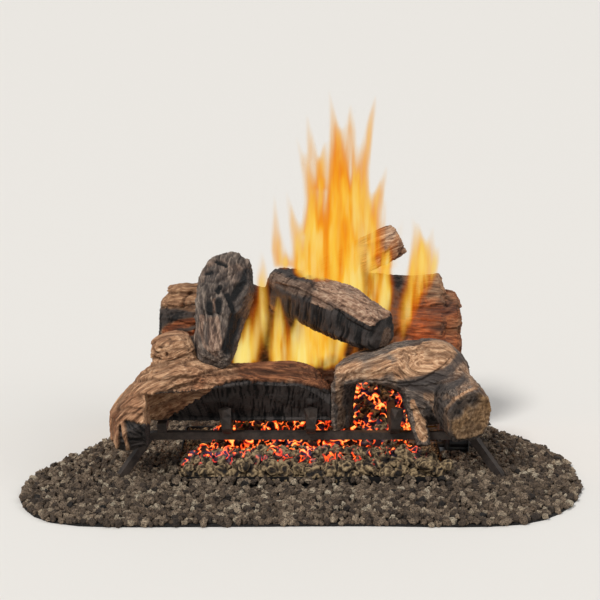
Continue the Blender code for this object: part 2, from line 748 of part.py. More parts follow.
def burner():
    burner_pan()
    front = burner_tube("front_burner_tube", FRONT_TUBE_Y, False)
    rear = burner_tube("rear_burner_tube", REAR_TUBE_Y, True)
    reach = TUBE_RADIUS + GAP
    x = TUBE_LENGTH / 2 - CROSSOVER_INSET
    crossover = rod("crossover_pipe", at_set(x, FRONT_TUBE_Y + reach, TUBE_HEIGHT),
                    at_set(x, REAR_TUBE_Y - reach, TUBE_HEIGHT), PIPE_RADIUS, BURNER_STEEL)
    feed = rod("burner_inlet_pipe", at_set(TUBE_LENGTH / 2 + GAP, REAR_TUBE_Y, TUBE_HEIGHT),
               at_set(valve_x() - GAP, REAR_TUBE_Y, TUBE_HEIGHT), PIPE_RADIUS, BURNER_STEEL)
    brackets = []
    for where, y in (("front", FRONT_TUBE_Y), ("rear", REAR_TUBE_Y)):
        for side, x in (("left", BRACKET_INSET - TUBE_LENGTH / 2), ("right", TUBE_LENGTH / 2 - BRACKET_INSET)):
            half = BRACKET_WIDTH / 2
            chair = block(f"tube_bracket_{where}_{side}",
                          at_set(x - half, y - BRACKET_DEPTH / 2, PAN_WALL + GAP),
                          at_set(x + half, y + BRACKET_DEPTH / 2, TUBE_HEIGHT - TUBE_RADIUS / 3),
                          BURNER_STEEL)
            seat = rod("seat_in_" + chair.name, at_set(x - OVERRUN, y, TUBE_HEIGHT),
                       at_set(x + OVERRUN, y, TUBE_HEIGHT), TUBE_RADIUS + GAP, sides=14)
            brackets.append(cut(chair, as_cutter(seat)))
    pan_sand([front, rear, crossover, feed], brackets)
    return front, rear, crossover, feed


def corners_of(piece):
    """The lowest and highest corners of a piece."""
    corners = [piece.matrix_world @ Vector(corner) for corner in piece.bound_box]
    return Vector(map(min, zip(*corners))), Vector(map(max, zip(*corners)))


def pan_sand(pipes, brackets):
    """The sand that the tubes lie in, filling the pan to just above their middles."""
    sand = pan_block("pan_sand", -PAN_WALL - GAP, PAN_WALL + GAP, SAND_LEVEL)
    sand.data.materials.append(SAND)
    for bracket in brackets:
        low, high = corners_of(bracket)
        cut(sand, as_cutter(block("room_for_" + bracket.name, low - Vector((GAP, GAP, OVERRUN)),
                                  high + Vector((GAP, GAP, OVERRUN)))))
    for pipe in pipes:
        cut(sand, trench(pipe))
    return sand


def trench(pipe):
    """A cutter for a pipe that lies in sand or embers: its round lower half, open to the top."""
    low, high = corners_of(pipe)
    middle = (low + high) / 2
    way = Vector((1, 0, 0)) if (high - low).x > (high - low).y else Vector((0, 1, 0))
    half = way * ((high - low).dot(way) / 2 + GAP * 3)
    radius = (high - low).z / 2 + GAP
    hollow = rod("trench_of_" + pipe.name, middle - half, middle + half, radius, sides=14)
    side = Vector((way.y, way.x, 0)) * (radius * 0.96)
    shorter = half * 0.999
    slot = block("slot_of_" + pipe.name, middle - shorter - side, middle + shorter + side + UP * radius * 0.8)
    return as_cutter(fuse(hollow, slot))


# Embers

def ember_mound(name, low, high, foot, rise_at, seed, steps):
    """A lumpy heap of embers over a rectangle, its height given by rise_at(u, v) for shares u, v of it."""
    bm = bmesh.new()
    along, deep = steps
    top = []
    for i in range(along + 1):
        row = []
        for j in range(deep + 1):
            u, v = i / along, j / deep
            wave = noise.noise(Vector((u * 4.0 + seed, 0, v + seed)))
            x = low.x + (high.x - low.x) * u
            y = low.y + (high.y - low.y) * v + wave * EMBER_RAGGED
            lump = noise.noise(Vector((u * along / 1.6, v * deep / 1.6, seed))) * EMBER_LUMP
            edge = min(1, 4 * min(u, 1 - u), 4 * min(v, 1 - v))
            row.append(bm.verts.new((x, y, foot + rise_at(u, v) + lump * edge)))
        top.append(row)
    for i in range(along):
        for j in range(deep):
            bm.faces.new((top[i][j], top[i + 1][j], top[i + 1][j + 1], top[i][j + 1]))
    rim = [top[i][0] for i in range(along)] + [top[along][j] for j in range(deep)]
    rim += [top[i][deep] for i in range(along, 0, -1)] + [top[0][j] for j in range(deep, 0, -1)]
    sole = [bm.verts.new((v.co.x, v.co.y, foot)) for v in rim]
    for k in range(len(rim)):
        n = (k + 1) % len(rim)
        bm.faces.new((sole[k], sole[n], rim[n], rim[k]))
    bm.faces.new(sole)
    return shade_smooth(place(name, bm, EMBER), 40)


def front_embers():
    """The heap of embers over the front tube, lowest at the pan's front edge."""
    half = PAN_LENGTH / 2 - PAN_WALL - EMBER_MARGIN
    front = PAN_Y - PAN_DEPTH / 2 + PAN_WALL + EMBER_MARGIN
    low = at_set(-half, front, 0)
    high = at_set(half, front + EMBER_FRONT_DEPTH, 0)

    def rise_at(u, v):
        ends = min(1, 9 * min(u, 1 - u)) ** 0.5
        slope = min(1, 0.2 + 1.6 * v) * (1 - 0.25 * max(0, v - 0.7) / 0.3)
        return EMBER_FRONT_RISE * max(0.22, ends * slope) * (1 + 0.10 * math.sin(u * 23))

    return ember_mound("ember_bed_front", low, high, SAND_LEVEL + GAP, rise_at, 4.4, (28, 6))


def rear_embers():
    """The heap of embers over the rear tube, with a hump that shows through the arch."""
    half = PAN_LENGTH / 2 - EMBER_REAR_INSET
    low = at_set(-half, REAR_TUBE_Y - EMBER_REAR_REACH[0], 0)
    high = at_set(half, REAR_TUBE_Y + EMBER_REAR_REACH[1], 0)
    hump = at_set(EMBER_HUMP_X, EMBER_HUMP_Y, 0)

    def rise_at(u, v):
        spot = Vector((low.x + (high.x - low.x) * u, low.y + (high.y - low.y) * v, 0))
        ends = min(1, 7 * min(u, 1 - u)) ** 0.5
        front = min(1, 0.6 + 2.5 * v) * (1 - 0.3 * max(0, v - 0.75) / 0.25)
        swell = math.exp(-((spot - hump).length / EMBER_HUMP_SPREAD) ** 2)
        return EMBER_REAR_RISE * max(0.3, ends * front) + EMBER_HUMP_RISE * swell

    return ember_mound("ember_bed_rear", low, high, SAND_LEVEL + GAP, rise_at, 14.2, (24, 9))


# Valve group

def valve_x():
    return PAN_LENGTH / 2 + VALVE_SET_OFF


def valve_bracket(face, near, far):
    """A folded sheet behind the knob, under the valve and up against the pan's wall."""
    wall = PAN_LENGTH / 2 + GAP
    low = VALVE_LIFT - FACE_THICKNESS - GAP
    plate = block("valve_bracket", at_set(face, near, low),
                  at_set(face + FACE_THICKNESS, far, SHIELD_HEIGHT - GAP), BRACKET)
    floor = block("bracket_floor", at_set(wall, near, low),
                  at_set(face + FACE_THICKNESS / 2, far, VALVE_LIFT - GAP))
    tab = block("bracket_tab", at_set(wall, far - TAB_WIDTH, low),
                at_set(wall + FACE_THICKNESS, far, PAN_HEIGHT))
    return fuse(plate, floor, tab)


def valve_group():
    """Valve, stem and knob, the push-button igniter in front of it, and what carries and shields them."""
    left = valve_x()
    face = left + VALVE_LENGTH + GAP
    middle = VALVE_LIFT + VALVE_HEIGHT / 2
    stem_z = middle + STEM_LIFT
    igniter_y = VALVE_Y - VALVE_DEPTH / 2 - IGNITER_GAP - IGNITER_RADIUS
    near = igniter_y - IGNITER_RADIUS - FACE_MARGIN
    far = VALVE_Y + VALVE_DEPTH / 2 + FACE_MARGIN
    body = block("valve_body", at_set(left, VALVE_Y - VALVE_DEPTH / 2, VALVE_LIFT),
                 at_set(left + VALVE_LENGTH, VALVE_Y + VALVE_DEPTH / 2, VALVE_LIFT + VALVE_HEIGHT),
                 ALUMINIUM, VALVE_ROUND)
    dome = rod("valve_dome", at_set(left + VALVE_LENGTH / 2, VALVE_Y, middle),
               at_set(left + VALVE_LENGTH / 2, VALVE_Y, VALVE_LIFT + VALVE_HEIGHT + VALVE_SHOULDER),
               VALVE_LENGTH * 0.36, sides=16)
    fuse(body, dome)
    socket = rod("stem_socket", at_set(face - STEM_SOCKET, VALVE_Y, stem_z),
                 at_set(face + OVERRUN, VALVE_Y, stem_z), STEM_RADIUS + RUNNING_GAP)
    cut(body, as_cutter(socket))
    plate = valve_bracket(face, near, far)
    stem_hole = rod("stem_hole", at_set(face - OVERRUN, VALVE_Y, stem_z),
                    at_set(face + OVERRUN, VALVE_Y, stem_z), STEM_RADIUS + RUNNING_GAP)
    button_hole = rod("button_hole", at_set(face - BUTTON_ROOT, igniter_y, middle),
                      at_set(face + OVERRUN, igniter_y, middle), BUTTON_RADIUS + RUNNING_GAP)
    cut(plate, as_cutter(stem_hole), as_cutter(button_hole))
    rod("valve_stem", at_set(face - STEM_SOCKET + PUSH_TRAVEL + RUNNING_GAP, VALVE_Y, stem_z),
        at_set(face + STEM_LENGTH, VALVE_Y, stem_z), STEM_RADIUS, BRASS)
    valve_knob(face + FACE_THICKNESS + PUSH_TRAVEL + RUNNING_GAP, stem_z, face + STEM_LENGTH)
    igniter = rod("igniter_body", at_set(face - GAP - IGNITER_LENGTH, igniter_y, middle),
                  at_set(face - GAP, igniter_y, middle), IGNITER_RADIUS, DARK_PLASTIC)
    well = rod("button_well", at_set(face - BUTTON_ROOT - BUTTON_PROUD, igniter_y, middle),
               at_set(face + OVERRUN, igniter_y, middle), BUTTON_RADIUS + RUNNING_GAP)
    cut(igniter, as_cutter(well))
    button = rod("igniter_button", at_set(face - BUTTON_ROOT, igniter_y, middle),
                 at_set(face + BUTTON_PROUD, igniter_y, middle), BUTTON_RADIUS, RED_PLASTIC)
    soft = button.modifiers.new("Edge", "BEVEL")
    soft.width = BUTTON_RADIUS / 5
    soft.segments = 2
    soft.angle_limit = math.radians(60)
    settle(button)
    heat_shield(face, near, far)
    inlet_fitting(left)
    pilot(left)
    return plate


def valve_knob(inner, z, stem_end):
    """A fluted knob with a skirt, pressed over the end of the stem."""
    knob = rod("valve_knob", at_set(inner, VALVE_Y, z), at_set(inner + KNOB_SKIRT, VALVE_Y, z),
               KNOB_RADIUS, DARK_PLASTIC, sides=KNOB_FLUTES * 4)
    grip_radius = KNOB_RADIUS - KNOB_GRIP
    grip = rod("knob_grip", at_set(inner + KNOB_SKIRT / 2, VALVE_Y, z), at_set(inner + KNOB_LENGTH, VALVE_Y, z),
               grip_radius, sides=KNOB_FLUTES * 4, end_radius=grip_radius * 0.9)
    axis = at_set(inner, VALVE_Y, z)
    for v in grip.data.vertices:
        out = Vector((0, v.co.y - axis.y, v.co.z - axis.z))
        flute = 0.5 + 0.5 * math.cos(KNOB_FLUTES * math.atan2(out.z, out.y))
        v.co -= out.normalized() * (KNOB_GRIP * flute)
    fuse(knob, grip)
    bore = rod("knob_bore", at_set(inner - OVERRUN, VALVE_Y, z), at_set(stem_end + GAP, VALVE_Y, z),
               STEM_RADIUS + GAP)
    return cut(knob, as_cutter(bore))


def heat_shield(face, near, far):
    """A folded sheet that keeps the fire's heat off the valve. It rests on the bracket."""
    wall = PAN_LENGTH / 2 + GAP
    top = block("heat_shield", at_set(wall, near, SHIELD_HEIGHT),
                at_set(face + FACE_THICKNESS * 2, far, SHIELD_HEIGHT + FACE_THICKNESS), BRACKET)
    flange = block("shield_flange", at_set(wall, near, SHIELD_HEIGHT - SHIELD_FLANGE),
                   at_set(wall + FACE_THICKNESS, far, SHIELD_HEIGHT + FACE_THICKNESS / 2))
    return fuse(top, flange)


def inlet_fitting(left):
    """A brass nipple with a hexagon, screwed into the rear of the valve for the gas supply."""
    x = left + VALVE_LENGTH / 2
    rear = VALVE_Y + VALVE_DEPTH / 2 + GAP
    z = VALVE_LIFT + VALVE_HEIGHT / 2
    fitting = rod("gas_inlet_fitting", at_set(x, rear, z), at_set(x, rear + INLET_HEX_LENGTH, z),
                  INLET_HEX, BRASS, sides=6)
    nipple = rod("inlet_nipple", at_set(x, rear + INLET_HEX_LENGTH / 2, z), at_set(x, rear + INLET_LENGTH, z),
                 INLET_RADIUS, sides=16)
    fuse(fitting, nipple)
    bore = rod("inlet_bore", at_set(x, rear + INLET_HEX_LENGTH / 3, z),
               at_set(x, rear + INLET_LENGTH + OVERRUN, z), INLET_BORE, sides=16)
    return cut(fitting, as_cutter(bore))


def pilot(left):
    """Pilot hood, its gas tube, the thermocouple and the spark electrode, just inside the pan."""
    foot = SAND_LEVEL + GAP
    x = PAN_LENGTH / 2 - PILOT_INSET
    y = VALVE_Y + PILOT_SET_OFF
    hood = rod("pilot_hood", at_set(x, y, foot), at_set(x, y, foot + PILOT_HEIGHT), PILOT_RADIUS, BRASS)
    well = rod("hood_well", at_set(x, y, foot + PILOT_HEIGHT / 2), at_set(x, y, foot + PILOT_HEIGHT + OVERRUN),
               PILOT_RADIUS - PILOT_WALL, sides=16)
    window = block("hood_window", at_set(x - PILOT_RADIUS / 2, y - OVERRUN, foot + PILOT_HEIGHT * 0.62),
                   at_set(x + PILOT_RADIUS / 2, y, foot + PILOT_HEIGHT * 0.86))
    cut(hood, as_cutter(well), as_cutter(window))
    wire("pilot_tube", [at_set(x + PILOT_RADIUS + GAP, y, LEAD_HEIGHT), at_set(left - GAP, y, LEAD_HEIGHT)],
         LEAD_RADIUS, ALUMINIUM)
    for name, row in (("thermocouple", 1), ("spark_electrode", -1)):
        beside = y + row * PROBE_PITCH
        top = at_set(x, beside, foot + PROBE_HEIGHT)
        base = at_set(x, beside, foot)
        probe = rod(name, base, top, PROBE_RADIUS, BRASS if row == 1 else WHITE_CERAMIC, sides=10)
        sleeve = rod(name + "_sleeve", base, base.lerp(top, 0.5), PROBE_RADIUS * 1.8, sides=12)
        arm = rod(name + "_lead", at_set(x, beside, LEAD_HEIGHT), at_set(left - GAP, beside, LEAD_HEIGHT),
                  LEAD_RADIUS * 0.8, sides=8)
        fuse(probe, sleeve, arm)


# Granule bed

BED_OUTLINE_SHARES = [
    (0.80, 0.52), (0.93, 0.24), (0.995, -0.08), (1.00, -0.36), (0.945, -0.68), (0.80, -0.93), (0.62, -1.00),
    (0.20, -0.99), (-0.30, -1.00), (-0.76, -0.99), (-0.91, -0.88), (-1.00, -0.58), (-0.985, -0.30),
    (-0.90, 0.02), (-0.76, 0.38), (-0.60, 0.78), (-0.40, 0.97), (0.00, 1.00), (0.40, 0.98), (0.62, 0.82),
]


def bed_edge(angle):
    """The bed's outline in a direction from its middle, on a smooth closed curve through the shares."""
    rows = []
    for turn in (-1, 0, 1):
        for x, y in BED_OUTLINE_SHARES:
            rows.append((math.atan2(y, x) + turn * math.tau, x, y))
    rows.sort()
    x, y = smooth_row(rows, angle)
    return Vector((x * BED_HALF_WIDTH, y * BED_HALF_DEPTH, 0))


def pan_edge(toward, inset):
    """Where the line from the pan's middle towards a point crosses a rectangle this far inside its walls."""
    middle = at_set(0, PAN_Y, 0)
    way = toward - middle
    half_x = PAN_LENGTH / 2 - inset
    half_y = PAN_DEPTH / 2 - inset
    reach = min(half_x / max(abs(way.x), GAP), half_y / max(abs(way.y), GAP))
    return middle + way * reach


def pan_block(name, gap, low_z, high_z):
    """A solid with the pan's rounded outline, larger by a gap."""
    low = at_set(-PAN_LENGTH / 2 - gap, PAN_Y - PAN_DEPTH / 2 - gap, low_z)
    high = at_set(PAN_LENGTH / 2 + gap, PAN_Y + PAN_DEPTH / 2 + gap, high_z)
    bm = bmesh.new()
    bmesh.ops.create_cube(bm, size=1)
    bmesh.ops.scale(bm, vec=high - low, verts=bm.verts)
    bmesh.ops.translate(bm, vec=(low + high) / 2, verts=bm.verts)
    corners = [e for e in bm.edges if abs((e.verts[0].co - e.verts[1].co).z) > (high_z - low_z) / 2]
    bmesh.ops.bevel(bm, geom=corners, offset=PAN_CORNER, segments=3, profile=0.5, affect="EDGES")
    return place(name, bm, None)


def lava_bed(around, valve_plate):
    """A ring of granules from the pan out to a ragged edge, lumpy on top and flat below, with room left
    for what stands in it."""
    spokes, rings = 72, 7
    bm = bmesh.new()
    top, under = [], []
    for i in range(spokes):
        angle = math.tau * (i + 0.5) / spokes - math.pi
        outer = bed_edge(angle)
        inner = pan_edge(outer, PAN_CORNER)
        row = []
        for j in range(rings + 1):
            share = j / rings
            spot = inner.lerp(outer, share)
            lump = noise.noise(spot / BED_HALF_DEPTH * 14) * BED_LUMP
            fall = BED_HEIGHT + (BED_EDGE - BED_HEIGHT) * share ** 2.2
            height = fall + lump * (0.4 if j in (0, rings) else 1)
            row.append(bm.verts.new((spot.x, spot.y, height)))
        top.append(row)
        under.append((bm.verts.new((inner.x, inner.y, 0)), bm.verts.new((outer.x, outer.y, 0))))
    for i in range(spokes):
        n = (i + 1) % spokes
        for j in range(rings):
            bm.faces.new((top[i][j], top[i][j + 1], top[n][j + 1], top[n][j]))
        bm.faces.new((under[i][0], under[n][0], under[n][1], under[i][1]))
        bm.faces.new((under[i][0], top[i][0], top[n][0], under[n][0]))
        bm.faces.new((under[i][1], under[n][1], top[n][-1], top[i][-1]))
    bed = shade_smooth(place("lava_bed", bm, GRANULES), 40)
    cut(bed, as_cutter(pan_block("pan_recess", BED_INNER_GAP, -OVERRUN, OVERRUN)))
    for piece in around:
        cut(bed, grown(piece, GAP * 2))
    low, high = corners_of(valve_plate)
    low += Vector((-GAP, -GAP, -OVERRUN))
    high += Vector((PUSH_TRAVEL + KNOB_LENGTH + BUTTON_PROUD, INLET_LENGTH, 0))
    return cut(bed, as_cutter(block("valve_recess", low, high)))


def main():
    logs()
    bars, front_frame, rear_frame = grate()
    pipes = burner()
    front_heap, rear_heap = front_embers(), rear_embers()
    for heap in (front_heap, rear_heap):
        for pipe in pipes:
            cut(heap, trench(pipe))
    cut(rear_heap, *[grown(bar, GAP * 2) for bar in bars])
    plate = valve_group()
    lava_bed([front_frame, rear_frame], plate)


# The scene, its collections and the materials

clear_scene()
PARTS = collection_named("gas_log_set")
CUTTERS = collection_named("cutters")
CERAMIC = material("ceramic_log", (0.44, 0.31, 0.21), 0.92)
CHARRED = material("charred_log", (0.10, 0.085, 0.08), 0.88)
STEEL = material("grate_steel", (0.035, 0.033, 0.032), 0.55, 0.6)
PAN_STEEL = material("pan_steel", (0.05, 0.048, 0.047), 0.6, 0.5)
BURNER_STEEL = material("burner_steel", (0.30, 0.29, 0.28), 0.45, 0.9)
BRACKET = material("bracket_steel", (0.42, 0.41, 0.40), 0.4, 0.9)
ALUMINIUM = material("valve_aluminium", (0.62, 0.62, 0.63), 0.4, 1.0)
BRASS = material("brass", (0.70, 0.52, 0.22), 0.32, 1.0)
DARK_PLASTIC = material("knob_plastic", (0.02, 0.02, 0.021), 0.45)
RED_PLASTIC = material("button_plastic", (0.45, 0.03, 0.02), 0.4)
WHITE_CERAMIC = material("electrode_ceramic", (0.85, 0.83, 0.78), 0.4)
SAND = material("pan_sand", (0.35, 0.29, 0.21), 0.95)
EMBER = material("embers", (0.30, 0.16, 0.09), 0.95, glow=(0.9, 0.16, 0.02))
GRANULES = material("lava_granules", (0.075, 0.068, 0.060), 0.95)
main()
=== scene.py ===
"""The looks of the gas log set.

Cast bark and char, glowing embers, loose granules, metal and the rest, and the staged flames.
"""
import itertools
import math

import bmesh
import bpy
import numpy as np
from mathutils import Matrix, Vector
from mathutils.bvhtree import BVHTree


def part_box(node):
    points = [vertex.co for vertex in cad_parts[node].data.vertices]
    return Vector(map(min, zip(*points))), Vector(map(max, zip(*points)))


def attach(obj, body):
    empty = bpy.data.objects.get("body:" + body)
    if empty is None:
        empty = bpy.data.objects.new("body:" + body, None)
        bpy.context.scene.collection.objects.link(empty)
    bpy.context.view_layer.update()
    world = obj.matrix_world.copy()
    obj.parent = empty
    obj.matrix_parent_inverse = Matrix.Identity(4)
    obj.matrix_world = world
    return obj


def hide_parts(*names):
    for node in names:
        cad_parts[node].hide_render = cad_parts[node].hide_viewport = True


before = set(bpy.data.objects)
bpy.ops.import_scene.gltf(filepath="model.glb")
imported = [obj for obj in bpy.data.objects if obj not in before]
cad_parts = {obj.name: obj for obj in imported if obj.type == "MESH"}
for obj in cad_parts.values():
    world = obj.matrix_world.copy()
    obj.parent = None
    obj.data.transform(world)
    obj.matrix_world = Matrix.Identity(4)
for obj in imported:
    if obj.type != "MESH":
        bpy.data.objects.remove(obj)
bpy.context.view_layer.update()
ROOT_BODY = "log_set"

# The camera: the photograph's frame, its scale at the target and its angle
IMAGE_SIDE_PX = 600
SENSOR_MM = 36.0
CAMERA_TARGET = Vector((-0.004, 0.060, 0.2606))
CAMERA_DISTANCE = 2.70
CAMERA_ELEVATION = math.radians(14)
PIXELS_PER_METRE = 617.3
LOOK_COS = math.cos(CAMERA_ELEVATION)
LOOK_SIN = math.sin(CAMERA_ELEVATION)
EYE_WAY = np.array((0, -LOOK_COS, LOOK_SIN))

# More than any gap that is measured, in metres or cells and in pixels
FAR = 9.0
FAR_PX = 999.0
# Corners closer than this are one corner
WELD_REACH = 0.00001

# Skins of the cast logs: how fine they are, how far they rise, and the room left to what lies against them
LOG_VOXEL = 0.0015
LONG_LOG_VOXEL = 0.0020
SEAT_ROOM = 0.0006
SEAT_REACH = 0.010
OUTWARD_MOST = 0.0035
SKIN_LIFT = 0.0030
SKIN_GRIT = 0.0004
SKIN_GRITS = 260
GRAIN_SAMPLES = 90
# Noise over a log, in features per metre along, beside and above the grain
RAGGED_RATES = (16, 30, 30)
TONE_RATES = (9, 20, 20)
LAYER_WANDER_RATES = (6, 13, 13)
CRACK_PATCH_RATES = (10, 24, 24)
# How far each kind of relief is swayed, and how often per metre
FIBRE_SWAY = (0.005, 14)
FISSURE_SWAY = (0.004, 22)
RIB_SWAY = (0.003, 45)
BLOCK_SWAY = (0.002, 60)

# Granules
GRANULE_PITCH = 0.0088
GRANULE_RADIUS = 0.0056
GRANULE_SIZE_SHARES = (0.72, 1.28)
GRANULE_SUNK_SHARES = (0.0, 1.1)
GRANULE_LEAST_SHARE = 0.8
GRANULE_BANK = 0.0090
BANK_REACH = 0.016
GRANULE_VARIANTS = 40
GRANULE_ROUGHNESS = 0.52
GRANULE_COARSENESS = 1.9
GRANULE_PIECES = 3
VALVE_NODES = ("valve_body", "valve_bracket", "heat_shield", "gas_inlet_fitting")
VALVE_MARGIN = 0.020
VALVE_SILL = 0.024
VALVE_PITCH_SHARE = 0.8
VALVE_RISE_SHARES = (0.6, 1.1)
VALVE_SIZE_SHARES = (0.8, 1.1)
BASE_DROP = 0.0050
BASE_LEAST = 0.0015
# Rows of seats: their pitch against that within a row, and how far a seat strays from its place
ROW_SHARE = 0.87
STRAY_SHARE = 0.3
VALVE_STRAY_SHARE = 0.2
# Rough stones: how flat they come, and how far apart they lie in the noise
STONE_FLATNESS_SHARES = (0.68, 1.12)
STONE_SPREAD = 50

# Embers
FRONT_EMBER_VOXEL = 0.0013
REAR_EMBER_VOXEL = 0.0016
EMBER_PITCH = 0.0120
EMBER_RADIUS = 0.0078
EMBER_SIZE_SHARES = (0.65, 1.15)
EMBER_SUNK_SHARES = (0.0, 0.8)
EMBER_DROP = 0.0055
EMBER_VARIANTS = 12
EMBER_ROUGHNESS = 0.5
EMBER_COARSENESS = 1.35
LIP_REST = 0.0255
LIP_START = 0.012
LIP_END = 0.002
LIP_MARGIN = 0.003
EMBER_HEAT = 1.5
# Curls, shreds and folds of the wool, and its glowing patches: how many per metre and how high
CURLS = 84
CURL_HEIGHT = 0.0042
SHREDS = 260
SHRED_HEIGHT = 0.0010
FRONT_FOLDS = 100
REAR_FOLDS = 76
FOLD_HEIGHT = 0.0012
WOOL_SWAY = (0.006, 70)
FOOT_START = 0.0005
FOOT_END = 0.004
GLOW_PATCHES = 55
FRONT_GLOWING = 0.08
REAR_GLOWING = 0.36
# Where the front heap starts to glow and is full aglow, in from its front, its right end and its left end
GLOW_FRONT = (0.012, 0.040)
GLOW_RIGHT = (-0.012, -0.050)
GLOW_LEFT = (-0.002, 0.012)
# The rear heap's right corner, piled up to the front log's prop: place and radius of each lump
CORNER_LUMPS = (
    (0.160, 0.078, 0.040, 0.011), (0.168, 0.082, 0.036, 0.010), (0.166, 0.072, 0.050, 0.0105),
    (0.158, 0.086, 0.054, 0.011), (0.170, 0.080, 0.056, 0.0085), (0.164, 0.078, 0.066, 0.010),
    (0.171, 0.082, 0.070, 0.0075), (0.160, 0.084, 0.076, 0.009), (0.168, 0.078, 0.080, 0.0075),
    (0.164, 0.082, 0.088, 0.007), (0.158, 0.078, 0.088, 0.008), (0.172, 0.086, 0.046, 0.009),
    (0.176, 0.080, 0.034, 0.009), (0.178, 0.074, 0.026, 0.009), (0.088, 0.054, 0.116, 0.011),
    (0.098, 0.056, 0.112, 0.012),
)
# The large cold tufts along the front of the pan: pixel in the photograph and radius in pixels
FRONT_LUMPS_PX = (
    (188, 472, 7.0), (203, 474, 5.5), (222, 473, 6.5), (241, 466, 7.5), (252, 474, 6.0), (270, 468, 8.0),
    (283, 475, 5.5), (299, 470, 7.0), (316, 474, 6.0), (331, 471, 6.0), (345, 468, 8.0), (358, 475, 5.5),
    (370, 469, 7.0), (386, 473, 6.5), (401, 472, 6.0), (414, 474, 5.5), (424, 465, 8.5), (437, 471, 7.0),
    (447, 465, 6.0),
)
FRONT_LUMP_Y = -0.1115
# Cold tufts on the bare sand
WOOL_PITCH = 0.0085
WOOL_RADIUS = 0.0056
WOOL_SIZE_SHARES = (0.6, 1.1)
WOOL_CURLS = 150
WOOL_CURL_HEIGHT = 0.0026
WOOL_MARGIN = 0.012

# Flames: voxels, the depth over which they thicken inward, and how opaque they are per metre
FLAME_VOXEL = 0.0026
FLAME_GROWTH = FLAME_VOXEL * 0.8
FLAME_BAND = 0.012
FLAME_THICKNESS = 190.0
FLAME_SIDES = 12
FLAME_RINGS = 24
FLAME_FLATNESS = 0.8
FLAME_STREAKS = (70, 70, 9)
FLAME_LICKS = (28, 28, 6)
FLAME_FOOT_Z = 0.18
FLAME_TIP_Z = 0.56
# How fast a flame hides what is behind it in red, green and blue, against its own glow
FLAME_VEIL_SHARES = (1.0, 1.2, 2.2)
FIRE_LIGHT_RADIUS = 0.02
FIRE_LIGHT_TINT = (1.0, 0.42, 0.10)

# Stage
FLOOR_HALF = 30.0
FLOOR_DROP = 0.0003
WORLD_STRENGTH = 0.45


# Colours are written as on a screen, 0 to 255
def colour(red, green, blue):
    """A screen colour as the linear one that a material takes."""
    shares = [v / 255 for v in (red, green, blue)]
    return tuple(v / 12.92 if v <= 0.04045 else ((v + 0.055) / 1.055) ** 2.4 for v in shares) + (1.0,)


# Repeatable noise in space
def lattice_code(cells, seed):
    """A scrambled whole number for each cell of the lattice."""
    x, y, z = (cells[:, axis].astype(np.int64) for axis in range(3))
    code = (x * 73856093) ^ (y * 19349663) ^ (z * 83492791) ^ (seed * 2654435761)
    code = ((code ^ (code >> 15)) * 2246822519) & 0xFFFFFFFF
    code = ((code ^ (code >> 13)) * 3266489917) & 0xFFFFFFFF
    return (code ^ (code >> 16)) & 0xFFFFFFFF


def unit_directions(count, seed):
    towards = np.random.default_rng(seed).normal(size=(count, 3))
    return towards / np.linalg.norm(towards, axis=1, keepdims=True)


DIRECTIONS = unit_directions(256, 7)


def noise(points, seed):
    """Smooth noise from about -1 to 1, with features about one unit across."""
    low = np.floor(points)
    part = points - low
    fade = part ** 3 * (part * (part * 6 - 15) + 10)
    total = np.zeros(len(points))
    for corner in itertools.product((0, 1), repeat=3):
        corner = np.array(corner)
        towards = DIRECTIONS[lattice_code(low + corner, seed) & 255]
        weight = np.where(corner, fade, 1 - fade).prod(axis=1)
        total += weight * ((part - corner) * towards).sum(axis=1)
    return total * 1.7


def fractal(points, seed, octaves):
    total = np.zeros(len(points))
    for level in range(octaves):
        total += noise(points * 2 ** level, seed + level) / 2 ** level
    return total


def ridged(points, seed, octaves=1):
    """1 along thin crests, falling to 0 between them."""
    total = np.zeros(len(points))
    whole = 0
    for level in range(octaves):
        crest = 1 - np.abs(noise(points * 2 ** level, seed + level))
        total += np.clip(crest, 0, 1) ** 2 / 2 ** level
        whole += 1 / 2 ** level
    return total / whole


def cells(points, seed):
    """Distance to the nearest seat, its lead over the second, and the owner's code, for scattered seats."""
    low = np.floor(points)
    nearest = np.full(len(points), FAR)
    second = nearest.copy()
    owner = np.zeros(len(points), np.int64)
    for step in itertools.product((-1, 0, 1), repeat=3):
        cell = low + np.array(step)
        code = lattice_code(cell, seed)
        seat = np.stack([(code >> shift & 1023) / 1023 for shift in (0, 10, 20)], axis=1)
        gap = np.linalg.norm(cell + seat - points, axis=1)
        closer = gap < nearest
        second = np.where(closer, nearest, np.minimum(second, gap))
        owner = np.where(closer, code, owner)
        nearest = np.where(closer, gap, nearest)
    return nearest, second - nearest, owner


def smooth(low, high, value):
    share = np.clip((value - low) / (high - low), 0, 1)
    return share * share * (3 - 2 * share)


# Meshes
def shown(name, mesh):
    piece = bpy.data.objects.new(name, mesh)
    bpy.context.scene.collection.objects.link(piece)
    return piece


def mesh_of(name, points, faces):
    mesh = bpy.data.meshes.new(name)
    mesh.from_pydata([tuple(p) for p in points], [], [tuple(f) for f in faces])
    mesh.update()
    return mesh


def points_of(mesh, kind="co"):
    """The mesh's points, or its normals at them where kind is normal."""
    flat = np.empty(len(mesh.vertices) * 3, np.float32)
    mesh.vertices.foreach_get(kind, flat)
    return flat.reshape(-1, 3).astype(float)


def move_points(mesh, points):
    mesh.vertices.foreach_set("co", points.astype(np.float32).ravel())
    mesh.update()


def keep_values(mesh, **marks):
    """Writes marks on the mesh's points, for its material to read."""
    for name, values in marks.items():
        mesh.attributes.new(name, "FLOAT", "POINT").data.foreach_set("value", values.astype(np.float32))


def keep_vector(mesh, name, values):
    kept = mesh.attributes.new(name, "FLOAT_VECTOR", "POINT")
    kept.data.foreach_set("vector", values.astype(np.float32).ravel())


